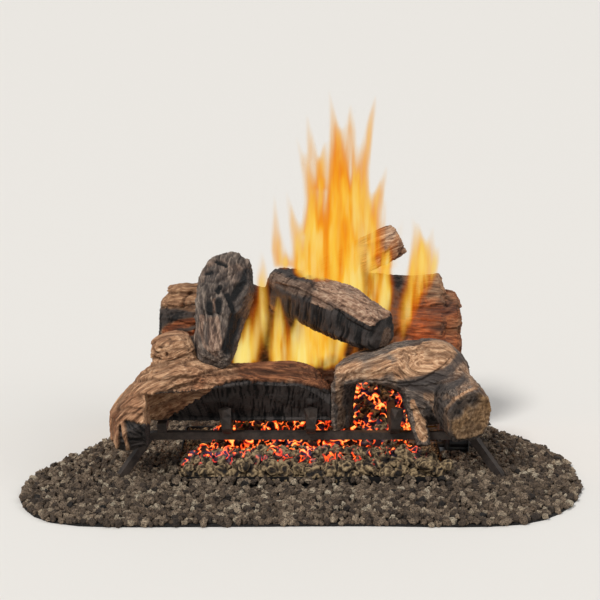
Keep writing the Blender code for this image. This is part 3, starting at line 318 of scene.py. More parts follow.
def welded(node):
    """The node's solid as a mesh of its own, with its corners joined."""
    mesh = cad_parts[node].data.copy()
    bm = bmesh.new()
    bm.from_mesh(mesh)
    bmesh.ops.remove_doubles(bm, verts=bm.verts, dist=WELD_REACH)
    bm.to_mesh(mesh)
    bm.free()
    return mesh


def voxelled(name, mesh, voxel):
    """An even skin of small faces over a closed mesh."""
    rough = shown(name + "_rough", mesh)
    remesh = rough.modifiers.new("skin", "REMESH")
    remesh.mode = "VOXEL"
    remesh.voxel_size = voxel
    evaluated = rough.evaluated_get(bpy.context.evaluated_depsgraph_get())
    skin = bpy.data.meshes.new_from_object(evaluated)
    bpy.data.objects.remove(rough)
    skin.name = name
    skin.shade_smooth()
    skin.materials.clear()
    return skin


def tree_of(nodes):
    """One search tree over the solids of some nodes."""
    bm = bmesh.new()
    for node in nodes:
        bm.from_mesh(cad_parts[node].data)
    tree = BVHTree.FromBMesh(bm)
    bm.free()
    return tree


def distances(tree, points, reach):
    found = [tree.find_nearest(Vector(p), reach) for p in points]
    return np.array([reach if hit[0] is None else hit[3] for hit in found])


# Node materials
def new_material(name):
    material = bpy.data.materials.new(name)
    material.use_nodes = True
    return material, material.node_tree, material.node_tree.nodes["Principled BSDF"]


def put(tree, value, socket):
    """Gives a socket a link, where value is another socket, or else a plain value."""
    if isinstance(value, bpy.types.NodeSocket):
        tree.links.new(value, socket)
    else:
        socket.default_value = value


def put_all(tree, node, values):
    """Links or sets some of a node's inputs, by their names."""
    for name, value in values.items():
        put(tree, value, node.inputs[name])


def added(tree, kind, values):
    node = tree.nodes.new("ShaderNode" + kind)
    put_all(tree, node, values)
    return node


def arithmetic(kind):
    """A function that works out one sum in a material."""
    def worked(tree, *values):
        node = tree.nodes.new("ShaderNodeMath")
        node.operation = kind
        for value, socket in zip(values, node.inputs):
            put(tree, value, socket)
        return node.outputs["Value"]
    return worked


plus = arithmetic("ADD")
minus = arithmetic("SUBTRACT")
times = arithmetic("MULTIPLY")
times_plus = arithmetic("MULTIPLY_ADD")


def attribute(tree, name, output="Fac"):
    node = tree.nodes.new("ShaderNodeAttribute")
    node.attribute_name = name
    return node.outputs[output]


def object_place(tree):
    return tree.nodes.new("ShaderNodeTexCoord").outputs["Object"]


def place_in(tree, vector, scale):
    return added(tree, "Mapping", {"Vector": vector, "Scale": scale}).outputs["Vector"]


def noise_in(tree, vector, scale, detail, roughness=0.55):
    values = {"Vector": vector, "Scale": scale, "Detail": detail, "Roughness": roughness}
    return added(tree, "TexNoise", values).outputs["Fac"]


def cells_in(tree, vector, scale, output="Distance"):
    return added(tree, "TexVoronoi", {"Vector": vector, "Scale": scale}).outputs[output]


def stops(tree, factor, *marks):
    """A ramp through (place, colour) marks."""
    node = tree.nodes.new("ShaderNodeValToRGB")
    put(tree, factor, node.inputs["Fac"])
    ramp = node.color_ramp
    while len(ramp.elements) < len(marks):
        ramp.elements.new(1.0)
    for element, (place, tint) in zip(ramp.elements, marks):
        element.position = place
        element.color = tint
    return node.outputs["Color"]


def span(tree, value, low, high, to_low=0.0, to_high=1.0):
    """A value from low to high as one from to_low to to_high."""
    values = {"Value": value, "From Min": low, "From Max": high, "To Min": to_low, "To Max": to_high}
    return added(tree, "MapRange", values).outputs["Result"]


def blend(tree, factor, first, second, kind="MIX"):
    """The first colour with the second laid over it by the factor."""
    node = tree.nodes.new("ShaderNodeMix")
    node.data_type = "RGBA"
    node.blend_type = kind
    for place, value in ((0, factor), (6, first), (7, second)):
        put(tree, value, node.inputs[place])
    return node.outputs[2]


def bump(tree, height, strength, distance, under=None):
    """Shading of a height in shares of a distance in metres, over the relief under it."""
    values = {"Height": height, "Strength": strength, "Distance": distance}
    if under is not None:
        values["Normal"] = under
    return added(tree, "Bump", values).outputs["Normal"]


# Log colours: crack, body and crest of the wood, then its soot and char
# The crack colour of the first wood is also the painted shade of its hollows
SAND = (colour(72, 49, 35), colour(174, 131, 97), colour(230, 192, 154))
TAN = (colour(58, 40, 29), colour(140, 102, 74), colour(202, 162, 124))
DRIFTWOOD = (colour(38, 30, 27), colour(112, 88, 74), colour(180, 152, 130))
GREYED = (colour(30, 27, 27), colour(88, 77, 70), colour(150, 134, 120))
RUSSET = (colour(40, 19, 12), colour(122, 66, 38), colour(186, 112, 66))
PINKISH = (colour(62, 43, 35), colour(152, 117, 94), colour(206, 176, 148))
OCHRE = (colour(60, 42, 27), colour(138, 104, 68), colour(188, 153, 110))
TOASTED = (colour(32, 16, 10), colour(104, 62, 39), colour(172, 114, 76))
SOOT = colour(62, 58, 57)
# Deep char is also the painted shade of the char's hollows, and the crest colour of char is partly painted
# highlight
CHAR_DEEP = colour(7, 6, 6)
CHAR_BODY = colour(23, 20, 19)
CHAR_CREST = colour(68, 61, 58)

# Fibres, grit and mottle of the painted wood in features per metre, and the depths of their shading
LONG_FIBRE_RATES = (22, 420, 420)
FINE_FIBRE_RATES = (90, 1500, 1500)
GRIT_RATE = 900.0
MOTTLE_RATE = 26.0
LONG_FIBRE_DEPTH = 0.0016
FINE_FIBRE_DEPTH = 0.0007
GRIT_DEPTH = 0.0006


def log_material(name, wood, second_wood):
    """Painted cast wood: grained, with painted shade in its hollows and pale crests that are partly paint and
    partly painted highlight, sooty or charred where the mesh says.
    """
    material, tree, surface = new_material(name)
    grain = attribute(tree, "grain", "Vector")
    crest = attribute(tree, "crest")
    hollow = attribute(tree, "hollow")
    char = attribute(tree, "char")
    long_fibre = noise_in(tree, place_in(tree, grain, LONG_FIBRE_RATES), 1.0, 5.0, 0.6)
    fine_fibre = noise_in(tree, place_in(tree, grain, FINE_FIBRE_RATES), 1.0, 3.0, 0.6)
    grit = noise_in(tree, grain, GRIT_RATE, 3.0, 0.7)
    mottle = noise_in(tree, grain, MOTTLE_RATE, 5.0, 0.62)
    mixed = times_plus(tree, long_fibre, 0.55, times(tree, fine_fibre, 0.25))
    # Raised crests push the wood toward its pale colour: partly paint, partly painted highlight
    mixed = plus(tree, mixed, times(tree, crest, 0.26))
    mixed = times_plus(tree, grit, 0.16, mixed)
    woods = []
    for dark, body, pale in (wood, second_wood):
        woods.append(stops(tree, mixed, (0.44, dark), (0.62, body), (0.80, pale)))
    tone = span(tree, plus(tree, mottle, attribute(tree, "tone")), 0.42, 0.78)
    bare = blend(tree, tone, woods[0], woods[1])
    sawn = stops(tree, times_plus(tree, grit, 0.5, times(tree, crest, 0.5)),
                 (0.30, OCHRE[0]), (0.52, OCHRE[1]), (0.76, OCHRE[2]))
    bare = blend(tree, attribute(tree, "sawn"), bare, sawn)
    # Painted shade: the hollow mark blends bare wood toward its crack colour in cracks, seams, eyes and under
    # lips
    bare = blend(tree, span(tree, hollow, 0.25, 0.95, 0.0, 0.86), bare, wood[0])
    soot = times(tree, attribute(tree, "soot"), span(tree, grit, 0.3, 0.7, 0.7, 1.0))
    sooty = blend(tree, soot, bare, SOOT)
    # Char crests turn pale grey: partly painted highlight
    burnt = stops(tree, times_plus(tree, crest, 0.70, times(tree, grit, 0.30)),
                  (0.24, CHAR_DEEP), (0.50, CHAR_BODY), (0.84, CHAR_CREST))
    # Painted shade: the char's hollows blend toward the deepest black
    burnt = blend(tree, span(tree, hollow, 0.3, 0.9), burnt, CHAR_DEEP)
    drawn = times(tree, long_fibre, span(tree, char, 0.0, 1.0, 1.0, 0.15))
    relief = bump(tree, drawn, 0.6, LONG_FIBRE_DEPTH)
    relief = bump(tree, fine_fibre, 0.45, FINE_FIBRE_DEPTH, relief)
    put_all(tree, surface, {
        "Base Color": blend(tree, char, sooty, burnt),
        "Roughness": span(tree, times(tree, char, grit), 0.2, 0.7, 0.93, 0.52),
        "Specular IOR Level": 0.32,
        "Normal": bump(tree, grit, 0.5, GRIT_DEPTH, relief),
    })
    return material


# Grain: how far along the log's spine a point is, and how far beside and above it
def spine_of(node, spine_shares):
    """A smooth row of places along the log, from shares of its box."""
    low, high = (np.array(corner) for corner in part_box(node))
    marks = low + np.array(spine_shares) * (high - low)
    marks = np.vstack([2 * marks[0] - marks[1], marks, 2 * marks[-1] - marks[-2]])
    rows = []
    spans = len(marks) - 3
    for at in np.linspace(0, spans, GRAIN_SAMPLES):
        first = min(int(at), spans - 1)
        share = at - first
        a, b, c, d = marks[first:first + 4]
        rows.append(0.5 * (2 * b + (c - a) * share + (2 * a - 5 * b + 4 * c - d) * share ** 2
                           + (3 * b - a - 3 * c + d) * share ** 3))
    return np.array(rows)


def grain_of(points, spine):
    """(along, beside, above) for each point, in metres."""
    steps = np.diff(spine, axis=0)
    lengths = np.linalg.norm(steps, axis=1)
    starts = np.concatenate([[0], np.cumsum(lengths)])
    nearest = np.zeros(len(points), int)
    least = np.full(len(points), FAR)
    for index, place in enumerate(spine):
        gap = np.linalg.norm(points - place, axis=1)
        closer = gap < least
        nearest[closer] = index
        least = np.where(closer, gap, least)
    ways = np.gradient(spine, axis=0)
    ways /= np.linalg.norm(ways, axis=1, keepdims=True)
    beside = np.cross((0, 0, 1), ways)
    beside /= np.linalg.norm(beside, axis=1, keepdims=True)
    above = np.cross(ways, beside)
    offset = points - spine[nearest]
    along = starts[nearest] + (offset * ways[nearest]).sum(axis=1)
    aside = (offset * beside[nearest]).sum(axis=1)
    height = (offset * above[nearest]).sum(axis=1)
    return np.stack([along, aside, height], axis=1)


def swayed(points, seed, reach, rate):
    """The points pushed about smoothly by up to the reach, at so many waves per metre."""
    return points + reach * np.stack([noise(points * rate, seed + k) for k in range(3)], axis=1)


# Relief of the cast bark, all in metres of depth below the smooth log
def ledges(grain, seed, pitch, depth, lean):
    """Split layers along the grain: each swells downward to a lip and drops back under it."""
    wander = fractal(grain * LAYER_WANDER_RATES, seed, 3) * 0.8
    height = (grain[:, 2] + lean * grain[:, 1]) / pitch + wander
    layer = np.floor(height)
    share = height - layer
    strength = 0.55 + 0.45 * noise(np.stack([grain[:, 0] * 9, layer * 3.7, layer * 1.9], axis=1), seed + 9)
    rise = smooth(0.0, 0.85, share) * np.clip(strength, 0.15, 1)
    return depth * rise, share


def fibres(grain, seed, across, along, depth):
    """Long wavy fibres."""
    crest = ridged(swayed(grain, seed + 11, *FIBRE_SWAY) * (along, across, across), seed, 2)
    return depth * (1 - crest), crest


def fissures(grain, seed, across, along, depth):
    """Narrow cracks along the grain."""
    bent = swayed(grain, seed + 3, *FISSURE_SWAY)
    gap = np.abs(noise(bent * (along, across, across), seed + 20))
    open_here = smooth(0.10, 0.50, noise(grain * CRACK_PATCH_RATES, seed + 21) + 0.12)
    inside = (1 - smooth(0.02, 0.13, gap)) * open_here
    return depth * inside, inside


def char_ribs(grain, seed, along, across, depth):
    """Charcoal drawn into ribs across the grain."""
    bent = swayed(grain, seed + 1, *RIB_SWAY)
    rib = ridged(bent * (along, across, across), seed, 2)
    fine = ridged(bent * (along * 2.6, across * 2, across * 2), seed + 5)
    crest = 0.7 * rib + 0.3 * fine
    return depth * (1 - crest), 1 - smooth(0.25, 0.62, crest)


def char_blocks(grain, seed, along, across, depth):
    """Charcoal split into small swollen blocks."""
    bent = swayed(grain, seed + 1, *BLOCK_SWAY)
    nearest, lead, owner = cells(bent * (along, across, across), seed)
    seam = 1 - smooth(0.03, 0.22, lead)
    swell = smooth(0.0, 0.9, nearest)
    level = (owner & 255) / 255
    return depth * (0.75 * seam + 0.35 * swell + 0.25 * level), seam


def swirled(grain, middle, reach, turn):
    """The grain turned round a knot: most at its middle, not at all past its reach."""
    offset = grain - np.array(middle)
    angle = turn * np.exp(-(np.linalg.norm(offset, axis=1) / reach) ** 2)
    c, s = np.cos(angle), np.sin(angle)
    bent = grain.copy()
    bent[:, 0] = middle[0] + c * offset[:, 0] - s * offset[:, 2]
    bent[:, 2] = middle[2] + s * offset[:, 0] + c * offset[:, 2]
    return bent


# Marks that are placed by their pixels in the photograph
def seen_px(points):
    """The pixel at which the photograph's camera sees each point."""
    offset = points - np.array(CAMERA_TARGET)
    depth = CAMERA_DISTANCE + offset[:, 1] * LOOK_COS - offset[:, 2] * LOOK_SIN
    rise = offset[:, 1] * LOOK_SIN + offset[:, 2] * LOOK_COS
    scale = PIXELS_PER_METRE * CAMERA_DISTANCE / depth
    return IMAGE_SIDE_PX / 2 + offset[:, 0] * scale, IMAGE_SIDE_PX / 2 - rise * scale


def seen_at(u, v, y):
    """The place at this depth that the photograph's camera sees at a pixel."""
    half = IMAGE_SIDE_PX / 2
    reach = PIXELS_PER_METRE * CAMERA_DISTANCE
    way = Vector((u - half, 0, 0)) + Vector((0, LOOK_SIN, LOOK_COS)) * (half - v) - Vector(EYE_WAY) * reach
    eye = CAMERA_TARGET + Vector(EYE_WAY) * CAMERA_DISTANCE
    return eye + way * ((y - eye.y) / way.y)


# How far a step wavers, and how far its ends fade outward and inward
STEP_WANDER_PX = 1.6
STEP_OUTER_PX = 3
STEP_INNER_PX = 6


class Seen:
    """A smooth log's points, with their normals, their pixels, and how ragged its marks are there."""

    def __init__(self, points, normals, ragged):
        self.points = points
        self.normals = normals
        self.ragged = ragged
        self.x, self.y, self.z = points.T
        self.u, self.v = seen_px(points)
        self.facing = smooth(-0.1, 0.25, normals @ EYE_WAY)

    def none(self):
        return np.zeros(len(self.points))

    def below(self, line):
        """How many pixels each point lies below a line of pixels."""
        us, vs = zip(*line)
        return self.v - np.interp(self.u, us, vs)

    def near(self, rows, raggedness=1.0):
        """1 along each row's line of pixels, falling to 0 at its reach, on what faces the camera."""
        u, v, ragged = self.u, self.v, raggedness * self.ragged
        best = self.none()
        for reach, line in rows:
            gap = self.none() + FAR_PX
            for (u0, v0), (u1, v1) in zip(line, line[1:] + line[-1:]):
                du, dv = u1 - u0, v1 - v0
                along = np.clip(((u - u0) * du + (v - v0) * dv) / max(du * du + dv * dv, 1), 0, 1)
                gap = np.minimum(gap, np.hypot(u - u0 - along * du, v - v0 - along * dv))
            best = np.maximum(best, smooth(reach, reach * 0.45, gap + reach * 0.35 * ragged))
        return best * self.facing

    def steps(self, rows):
        """Depth and shade of carved steps: wood stands proud above each line and drops back below it."""
        depth = self.none()
        shade = self.none()
        for step_depth, decay, line in rows:
            below = self.below(line) + STEP_WANDER_PX * self.ragged
            starts = smooth(line[0][0] - STEP_OUTER_PX, line[0][0] + STEP_INNER_PX, self.u)
            ends = smooth(line[-1][0] + STEP_OUTER_PX, line[-1][0] - STEP_INNER_PX, self.u)
            inside = starts * ends * self.facing
            under = smooth(-1.0, 0.8, below) * np.exp(-np.maximum(below, 0) / decay)
            over = smooth(1.0, -1.0, below) * np.exp(np.minimum(below, 0) / decay)
            depth += step_depth * inside * (under - 0.45 * over)
            fade = np.exp(-np.maximum(below, 0) / (decay * 0.8))
            shade = np.maximum(shade, inside * smooth(-1.2, 0.4, below) * fade)
        return depth, shade


# Steps of the bark: depth in metres, how fast it closes in pixels, and the line of its lip in pixels
FRONT_LEFT_STEPS = (
    (0.0048, 6, ((145, 366), (162, 363), (176, 357.5), (193, 351), (205, 345))),
    (0.0036, 4, ((148, 372), (160, 371), (172, 366), (188, 361), (205, 358))),
    (0.0052, 6, ((136, 381), (152, 378.5), (166, 380), (181, 375), (194, 376), (209, 371), (222, 369))),
    (0.0075, 12, ((134, 397), (142, 394.5), (152, 394.5), (166, 391), (176, 386.5), (188, 383), (201, 377))),
    (0.0036, 5, ((114, 411), (128, 406), (150, 409), (172, 404), (194, 397))),
    (0.0030, 4, ((116, 424), (122, 413), (134, 412), (148, 417))),
    (0.0040, 5, ((205, 376), (222, 372), (246, 370), (262, 372), (290, 370), (316, 375))),
    (0.0030, 4, ((222, 365), (232, 367), (244, 365))),
    (0.0030, 4, ((286, 364), (298, 367), (310, 371))),
)
FRONT_RIGHT_STEPS = (
    (0.0035, 5, ((387, 379), (400, 382), (412, 381), (424, 377), (438, 369), (452, 356))),
    (0.0030, 4, ((398, 386), (425, 385), (442, 381), (462, 375))),
    (0.0026, 4, ((395, 352), (412, 350), (430, 346), (448, 347))),
)
CROSS_LEFT_STEPS = (
    (0.0040, 4, ((200, 314), (204, 309), (210, 312), (219, 311), (228, 318))),
    (0.0036, 4, ((204, 283), (214, 281), (226, 276), (240, 268))),
    (0.0034, 4, ((206, 296), (216, 292), (230, 286), (246, 281))),
)
CROSS_RIGHT_STEPS = (
    (0.0040, 5, ((276, 283), (288, 286), (300, 289), (316, 296), (330, 306), (350, 319), (372, 331))),
)

# Dark hollows, pale patches and soot: reach and line, in pixels
CROSS_LEFT_HOLLOWS = (
    (4.6, ((209, 303), (209, 311))), (4.2, ((218.5, 301), (218.5, 310))), (3.4, ((207, 273), (211, 271))),
    (2.6, ((216, 261), (226, 266))), (3.2, ((217, 290), (220, 287))),
    (7.0, ((249, 272), (240, 287), (234, 296))),
    (4.6, ((228, 293), (234, 310))), (8.5, ((236, 318), (232, 334), (228, 349))),
)
CROSS_LEFT_PALE = ((9.0, ((213, 321), (213, 336), (215, 344))),
                   (2.6, ((202, 316), (201, 331), (205, 346), (216, 354))),
                   (2.2, ((213.5, 299), (213.5, 311))))
CROSS_RIGHT_PALE = ((12.5, ((322, 300), (346, 309), (366, 319), (381, 331))),)
CROSS_RIGHT_BROWN = ((10.0, ((277, 280), (290, 286), (304, 290))), (6.0, ((383, 344), (387, 333))))
FRONT_RIGHT_PALE = ((17.0, ((404, 364), (420, 361), (440, 354))), (5.0, ((413, 402), (419, 420), (423, 438))))
FRONT_RIGHT_TAN = ((10.0, ((345, 372), (362, 369), (386, 366))), (5.5, ((340, 382), (339, 400), (341, 424))),
                   (3.0, ((445, 442), (446, 410), (456, 398), (475, 388))), (7.0, ((428, 395), (446, 396))))
FRONT_RIGHT_SOOT = ((6.5, ((462, 357), (446, 372), (428, 380), (402, 384))),
                    (6.0, ((464, 381), (444, 389), (412, 388))))
LIMB_SOOT = ((12.0, ((456, 411), (463, 405), (471, 399))),)
# Char laid into the gap under the front right log: black char and painted shade
FRONT_RIGHT_GAP_SHADE = ((7.0, ((429, 410), (434, 424), (435, 438))),)
BACK_BROWN = ((6.0, ((166, 331), (180, 325), (196, 322))), (4.0, ((180, 336), (196, 332))))
# Thin strands of bark that hang over the char at the left end
FRONT_LEFT_STRANDS = ((3.4, ((117, 416), (115, 430), (116, 447))),
                      (2.6, ((122, 424), (124, 436), (128, 450))))
# The edge between bare and burnt wood on the front left log, and how far it wanders and frays
FRONT_LEFT_BURN_PX = (
    (112, 452), (115, 446), (118, 425), (124, 419), (142, 425), (156, 423), (166, 419), (180, 414),
    (188, 408), (206, 395.5), (216, 389), (237, 380), (246, 379), (258, 382), (280, 381.5), (303, 380),
    (319, 386), (334, 390),
)
BURN_WANDER_PX = 3.2
FRINGE_PX = 1.6
BURN_EDGE_PX = 1.5
FRINGE_RATES = (190, 60, 20)

# Places on the logs: each pair is where a mark starts and where it is full. Ragged is how far its edge strays
FRONT_LEFT_BEHIND_X = (-0.24, -0.16)
FRONT_LEFT_TOAST_X = (-0.115, -0.060)
ARCH_CHAR_X = (0.080, 0.060)
ARCH_CHAR_Z = (0.17, 0.14)
PROP_CHAR_X = (0.085, 0.11)
PROP_CHAR_Z = (0.18, 0.16)
CROSS_RIGHT_TOP_X = (0.01, 0.03)
BACK_LEFT_X = (-0.150, -0.175)
BACK_LEFT_Z = (0.224, 0.232)
BACK_LEFT_RAGGED = 0.006
BACK_RIGHT_X = (0.150, 0.200)
BACK_RIGHT_RAGGED = 0.02
BACK_FIRED_X = (0.10, 0.16)
BACK_FIRED_Z = (0.268, 0.240)
BACK_FIRED_RAGGED = 0.010
SHOULDER_X = 0.240
SHOULDER_Z = 0.18
SHOULDER_LEAN = 0.9
SHOULDER_FADE = (0.030, 0.012)
SHOULDER_RAGGED = 0.012
SHOULDER_FRONT_Y = (-0.06, -0.02)

# The sawn end of the front right log's limb
LIMB_END = np.array((0.2566, -0.130, 0.1208))
LIMB_WAY = np.array((0.340, -0.9005, -0.270))
LIMB_RADIUS = 0.040
LIMB_EDGE = (LIMB_RADIUS * 1.5, LIMB_RADIUS * 1.3)
LIMB_DEPTH = (-0.016, -0.008)
SAWN_DEPTH = 0.0030
SAWN_COARSENESS = 0.0016
SAWN_LUMPS = 130
SAWN_RIM = 0.0022
SAWN_RIM_RADII = (LIMB_RADIUS * 0.72, LIMB_RADIUS * 0.92)
SAWN_CHAR_DEPTH = 0.0060

# The front left log's knot: a smooth dome, with dark eyes given by x, z, half width and half height
KNOT_X = -0.192
KNOT_Z = 0.226
KNOT_WIDTH_SHARE = 0.9
KNOT_RADII = (0.030, 0.018)
KNOT_SMOOTHED_SHARE = 0.88
FRONT_KNOT_EYES = ((-0.2265, 0.2160, 0.0080, 0.0042), (-0.2230, 0.2050, 0.0125, 0.0034),
                   (-0.2080, 0.2150, 0.0030, 0.0060), (-0.2180, 0.2250, 0.0060, 0.0026))
EYE_DEPTH = 0.0050
CHAR_UNDERCUT = 0.0070
HOLLOW_DEPTH = 0.0050


def nowhere(at):
    """No mark at all."""
    return at.none()


def limb_face(at):
    """How much each point belongs to the sawn end, and how far it lies from the end's middle."""
    offset = at.points - LIMB_END
    deep = offset @ LIMB_WAY
    facing = smooth(0.55, 0.85, at.normals @ LIMB_WAY)
    radius = np.linalg.norm(offset - deep[:, None] * LIMB_WAY, axis=1)
    return facing * smooth(*LIMB_DEPTH, deep) * smooth(*LIMB_EDGE, radius), radius


# Where each log is burnt: 0 bare, 1 char
def burn_front_left(at):
    fringe = noise(at.points * FRINGE_RATES, 5)
    below = at.below(FRONT_LEFT_BURN_PX) + BURN_WANDER_PX * at.ragged + FRINGE_PX * fringe
    front = smooth(-BURN_EDGE_PX, BURN_EDGE_PX, below) * smooth(0.75, 0.25, at.normals[:, 1])
    under = smooth(-0.75, -0.95, at.normals[:, 2])
    behind = smooth(0.25, 0.75, at.normals[:, 1]) * smooth(*FRONT_LEFT_BEHIND_X, at.x)
    return np.maximum.reduce([front, under, 0.75 * behind])


def burn_front_right(at):
    low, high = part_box("front_log_right")
    hollow = smooth(0.2, 0.75, at.normals[:, 0]) * smooth(*ARCH_CHAR_X, at.x - low.x)
    inside = smooth(-0.1, -0.6, at.normals[:, 2]) * smooth(*ARCH_CHAR_Z, at.z)
    behind = smooth(0.45, 0.9, at.normals[:, 1])
    gap = smooth(0.5, 0.9, -at.normals[:, 0]) * smooth(*PROP_CHAR_Z, at.z) * smooth(*PROP_CHAR_X, at.x)
    # The char in the gap under the log is partly painted shade
    return np.maximum.reduce([0.75 * hollow, 0.85 * inside, 0.6 * behind, 0.9 * gap,
                              0.86 * at.near(LIMB_SOOT), 0.96 * at.near(FRONT_RIGHT_GAP_SHADE)])


def burn_cross_left(at):
    inner = smooth(0.35, 0.8, at.normals[:, 0] + 0.3 * at.ragged) * 0.55
    under = smooth(-0.2, -0.6, at.normals[:, 2]) * 0.9
    return np.maximum.reduce([at.near(CROSS_LEFT_HOLLOWS), inner, under])


def burn_cross_right(at):
    pale = at.near(CROSS_RIGHT_PALE) * (at.normals[:, 2] > 0.15)
    top = smooth(0.42, 0.72, at.normals[:, 2] + 0.30 * at.ragged) * smooth(*CROSS_RIGHT_TOP_X, at.x)
    return 1 - 0.94 * np.maximum.reduce([pale, 0.55 * at.near(CROSS_RIGHT_BROWN), top])


def burn_top(at):
    return 0.65 * smooth(0.1, -0.6, at.normals[:, 2] + 0.3 * at.ragged)


def burn_back(at):
    left = smooth(*BACK_LEFT_X, at.x) * smooth(*BACK_LEFT_Z, at.z + BACK_LEFT_RAGGED * at.ragged)
    right = smooth(*BACK_RIGHT_X, at.x + BACK_RIGHT_RAGGED * at.ragged)
    behind = smooth(0.1, 0.6, at.normals[:, 1])
    bare = np.maximum.reduce([left, 0.9 * right, 0.85 * at.near(BACK_BROWN), behind * 0.85])
    return 0.96 * (1 - bare)


# How sooty each log is
def soot_front_right(at):
    aside = np.abs(at.x - SHOULDER_X + (at.z - SHOULDER_Z) * SHOULDER_LEAN)
    shoulder = smooth(*SHOULDER_FADE, aside + SHOULDER_RAGGED * at.ragged)
    return np.maximum(0.85 * at.near(FRONT_RIGHT_SOOT), 0.7 * shoulder * smooth(*SHOULDER_FRONT_Y, at.y))


def soot_cross_left(at):
    return smooth(0.0, 0.6, at.ragged) * 0.30


def soot_low(at):
    return smooth(0.1, 0.7, at.ragged) * 0.5


# Which wood shows: below 0 the first, above 0 the second
def toast_front_left(at):
    """Browner wood on the right half, over the flames."""
    return 0.5 * smooth(*FRONT_LEFT_TOAST_X, at.x)


def toast_front_right(at):
    return 0.30 - 0.8 * at.near(FRONT_RIGHT_PALE) - 0.30 * at.near(FRONT_RIGHT_TAN, 1.6)


def toast_cross_left(at):
    return 0.26 - 0.7 * at.near(CROSS_LEFT_PALE)


def toast_back(at):
    """Greyer at its left end, redder over the fire at its right."""
    fired = smooth(*BACK_FIRED_X, at.x) * smooth(*BACK_FIRED_Z, at.z + BACK_FIRED_RAGGED * at.ragged)
    return -0.30 + 0.55 * np.maximum(fired, at.near(BACK_BROWN))


# What else shapes each log: the depth below its smooth solid, and how dark its hollows are
def shape_front_left(at, char, depth):
    """Bare wood overhangs the burnt body; the knot is a smooth dome with sunk eyes that are darkened by
    painted shade.
    """
    dome = smooth(*KNOT_RADII, np.hypot((at.x - KNOT_X) * KNOT_WIDTH_SHARE, at.z - KNOT_Z))
    depth = depth * (1 - KNOT_SMOOTHED_SHARE * dome * (1 - char))
    eyes = at.none()
    for x, z, wide, tall in FRONT_KNOT_EYES:
        offset = np.hypot((at.x - x) / wide, (at.z - z) / tall)
        eyes = np.maximum(eyes, smooth(1.0, 0.45, offset) * smooth(-0.2, -0.5, at.normals[:, 1]))
    body = char * smooth(-0.2, -0.6, at.normals[:, 1])
    strands = char * at.near(FRONT_LEFT_STRANDS, 0)
    return depth + CHAR_UNDERCUT * body * (1 - strands) + EYE_DEPTH * eyes, eyes


def shape_front_right(at, char, depth):
    """The limb's sawn end is coarse, with a raised rim and a hollow burnt patch that is darkened further by
    painted shade.
    """
    face, radius = limb_face(at)
    coarse = SAWN_COARSENESS * fractal(at.points * SAWN_LUMPS, 33, 3)
    rim = SAWN_RIM * smooth(*SAWN_RIM_RADII, radius)
    sawn = SAWN_DEPTH + coarse - rim + SAWN_CHAR_DEPTH * char
    return depth * (1 - face) + sawn * face, 0.5 * face * char


def shape_cross_left(at, char, depth):
    """Oval hollows burnt deep into the face, their char darkened further by painted shade."""
    hollows = at.near(CROSS_LEFT_HOLLOWS, 0)
    return depth + HOLLOW_DEPTH * hollows, 0.9 * hollows


def plain_shape(at, char, depth):
    return depth, at.none()


class Log:
    """What one log is made from: its grain, its woods, its relief and where it is burnt.

    Spine shares are places along the log in shares of its box. A ledge has a pitch, a depth and a lean.
    Fibres, cracks and char have features per metre across and along the grain, and a depth. A whorl has a
    place in the grain, a reach and a turn.
    """

    body = ROOT_BODY
    voxel = LOG_VOXEL
    soot = toast = staticmethod(nowhere)
    shape = staticmethod(plain_shape)
    steps = strands = whorls = ()

    def __init__(self, node, **values):
        self.node = node
        for name, value in values.items():
            setattr(self, name, value)


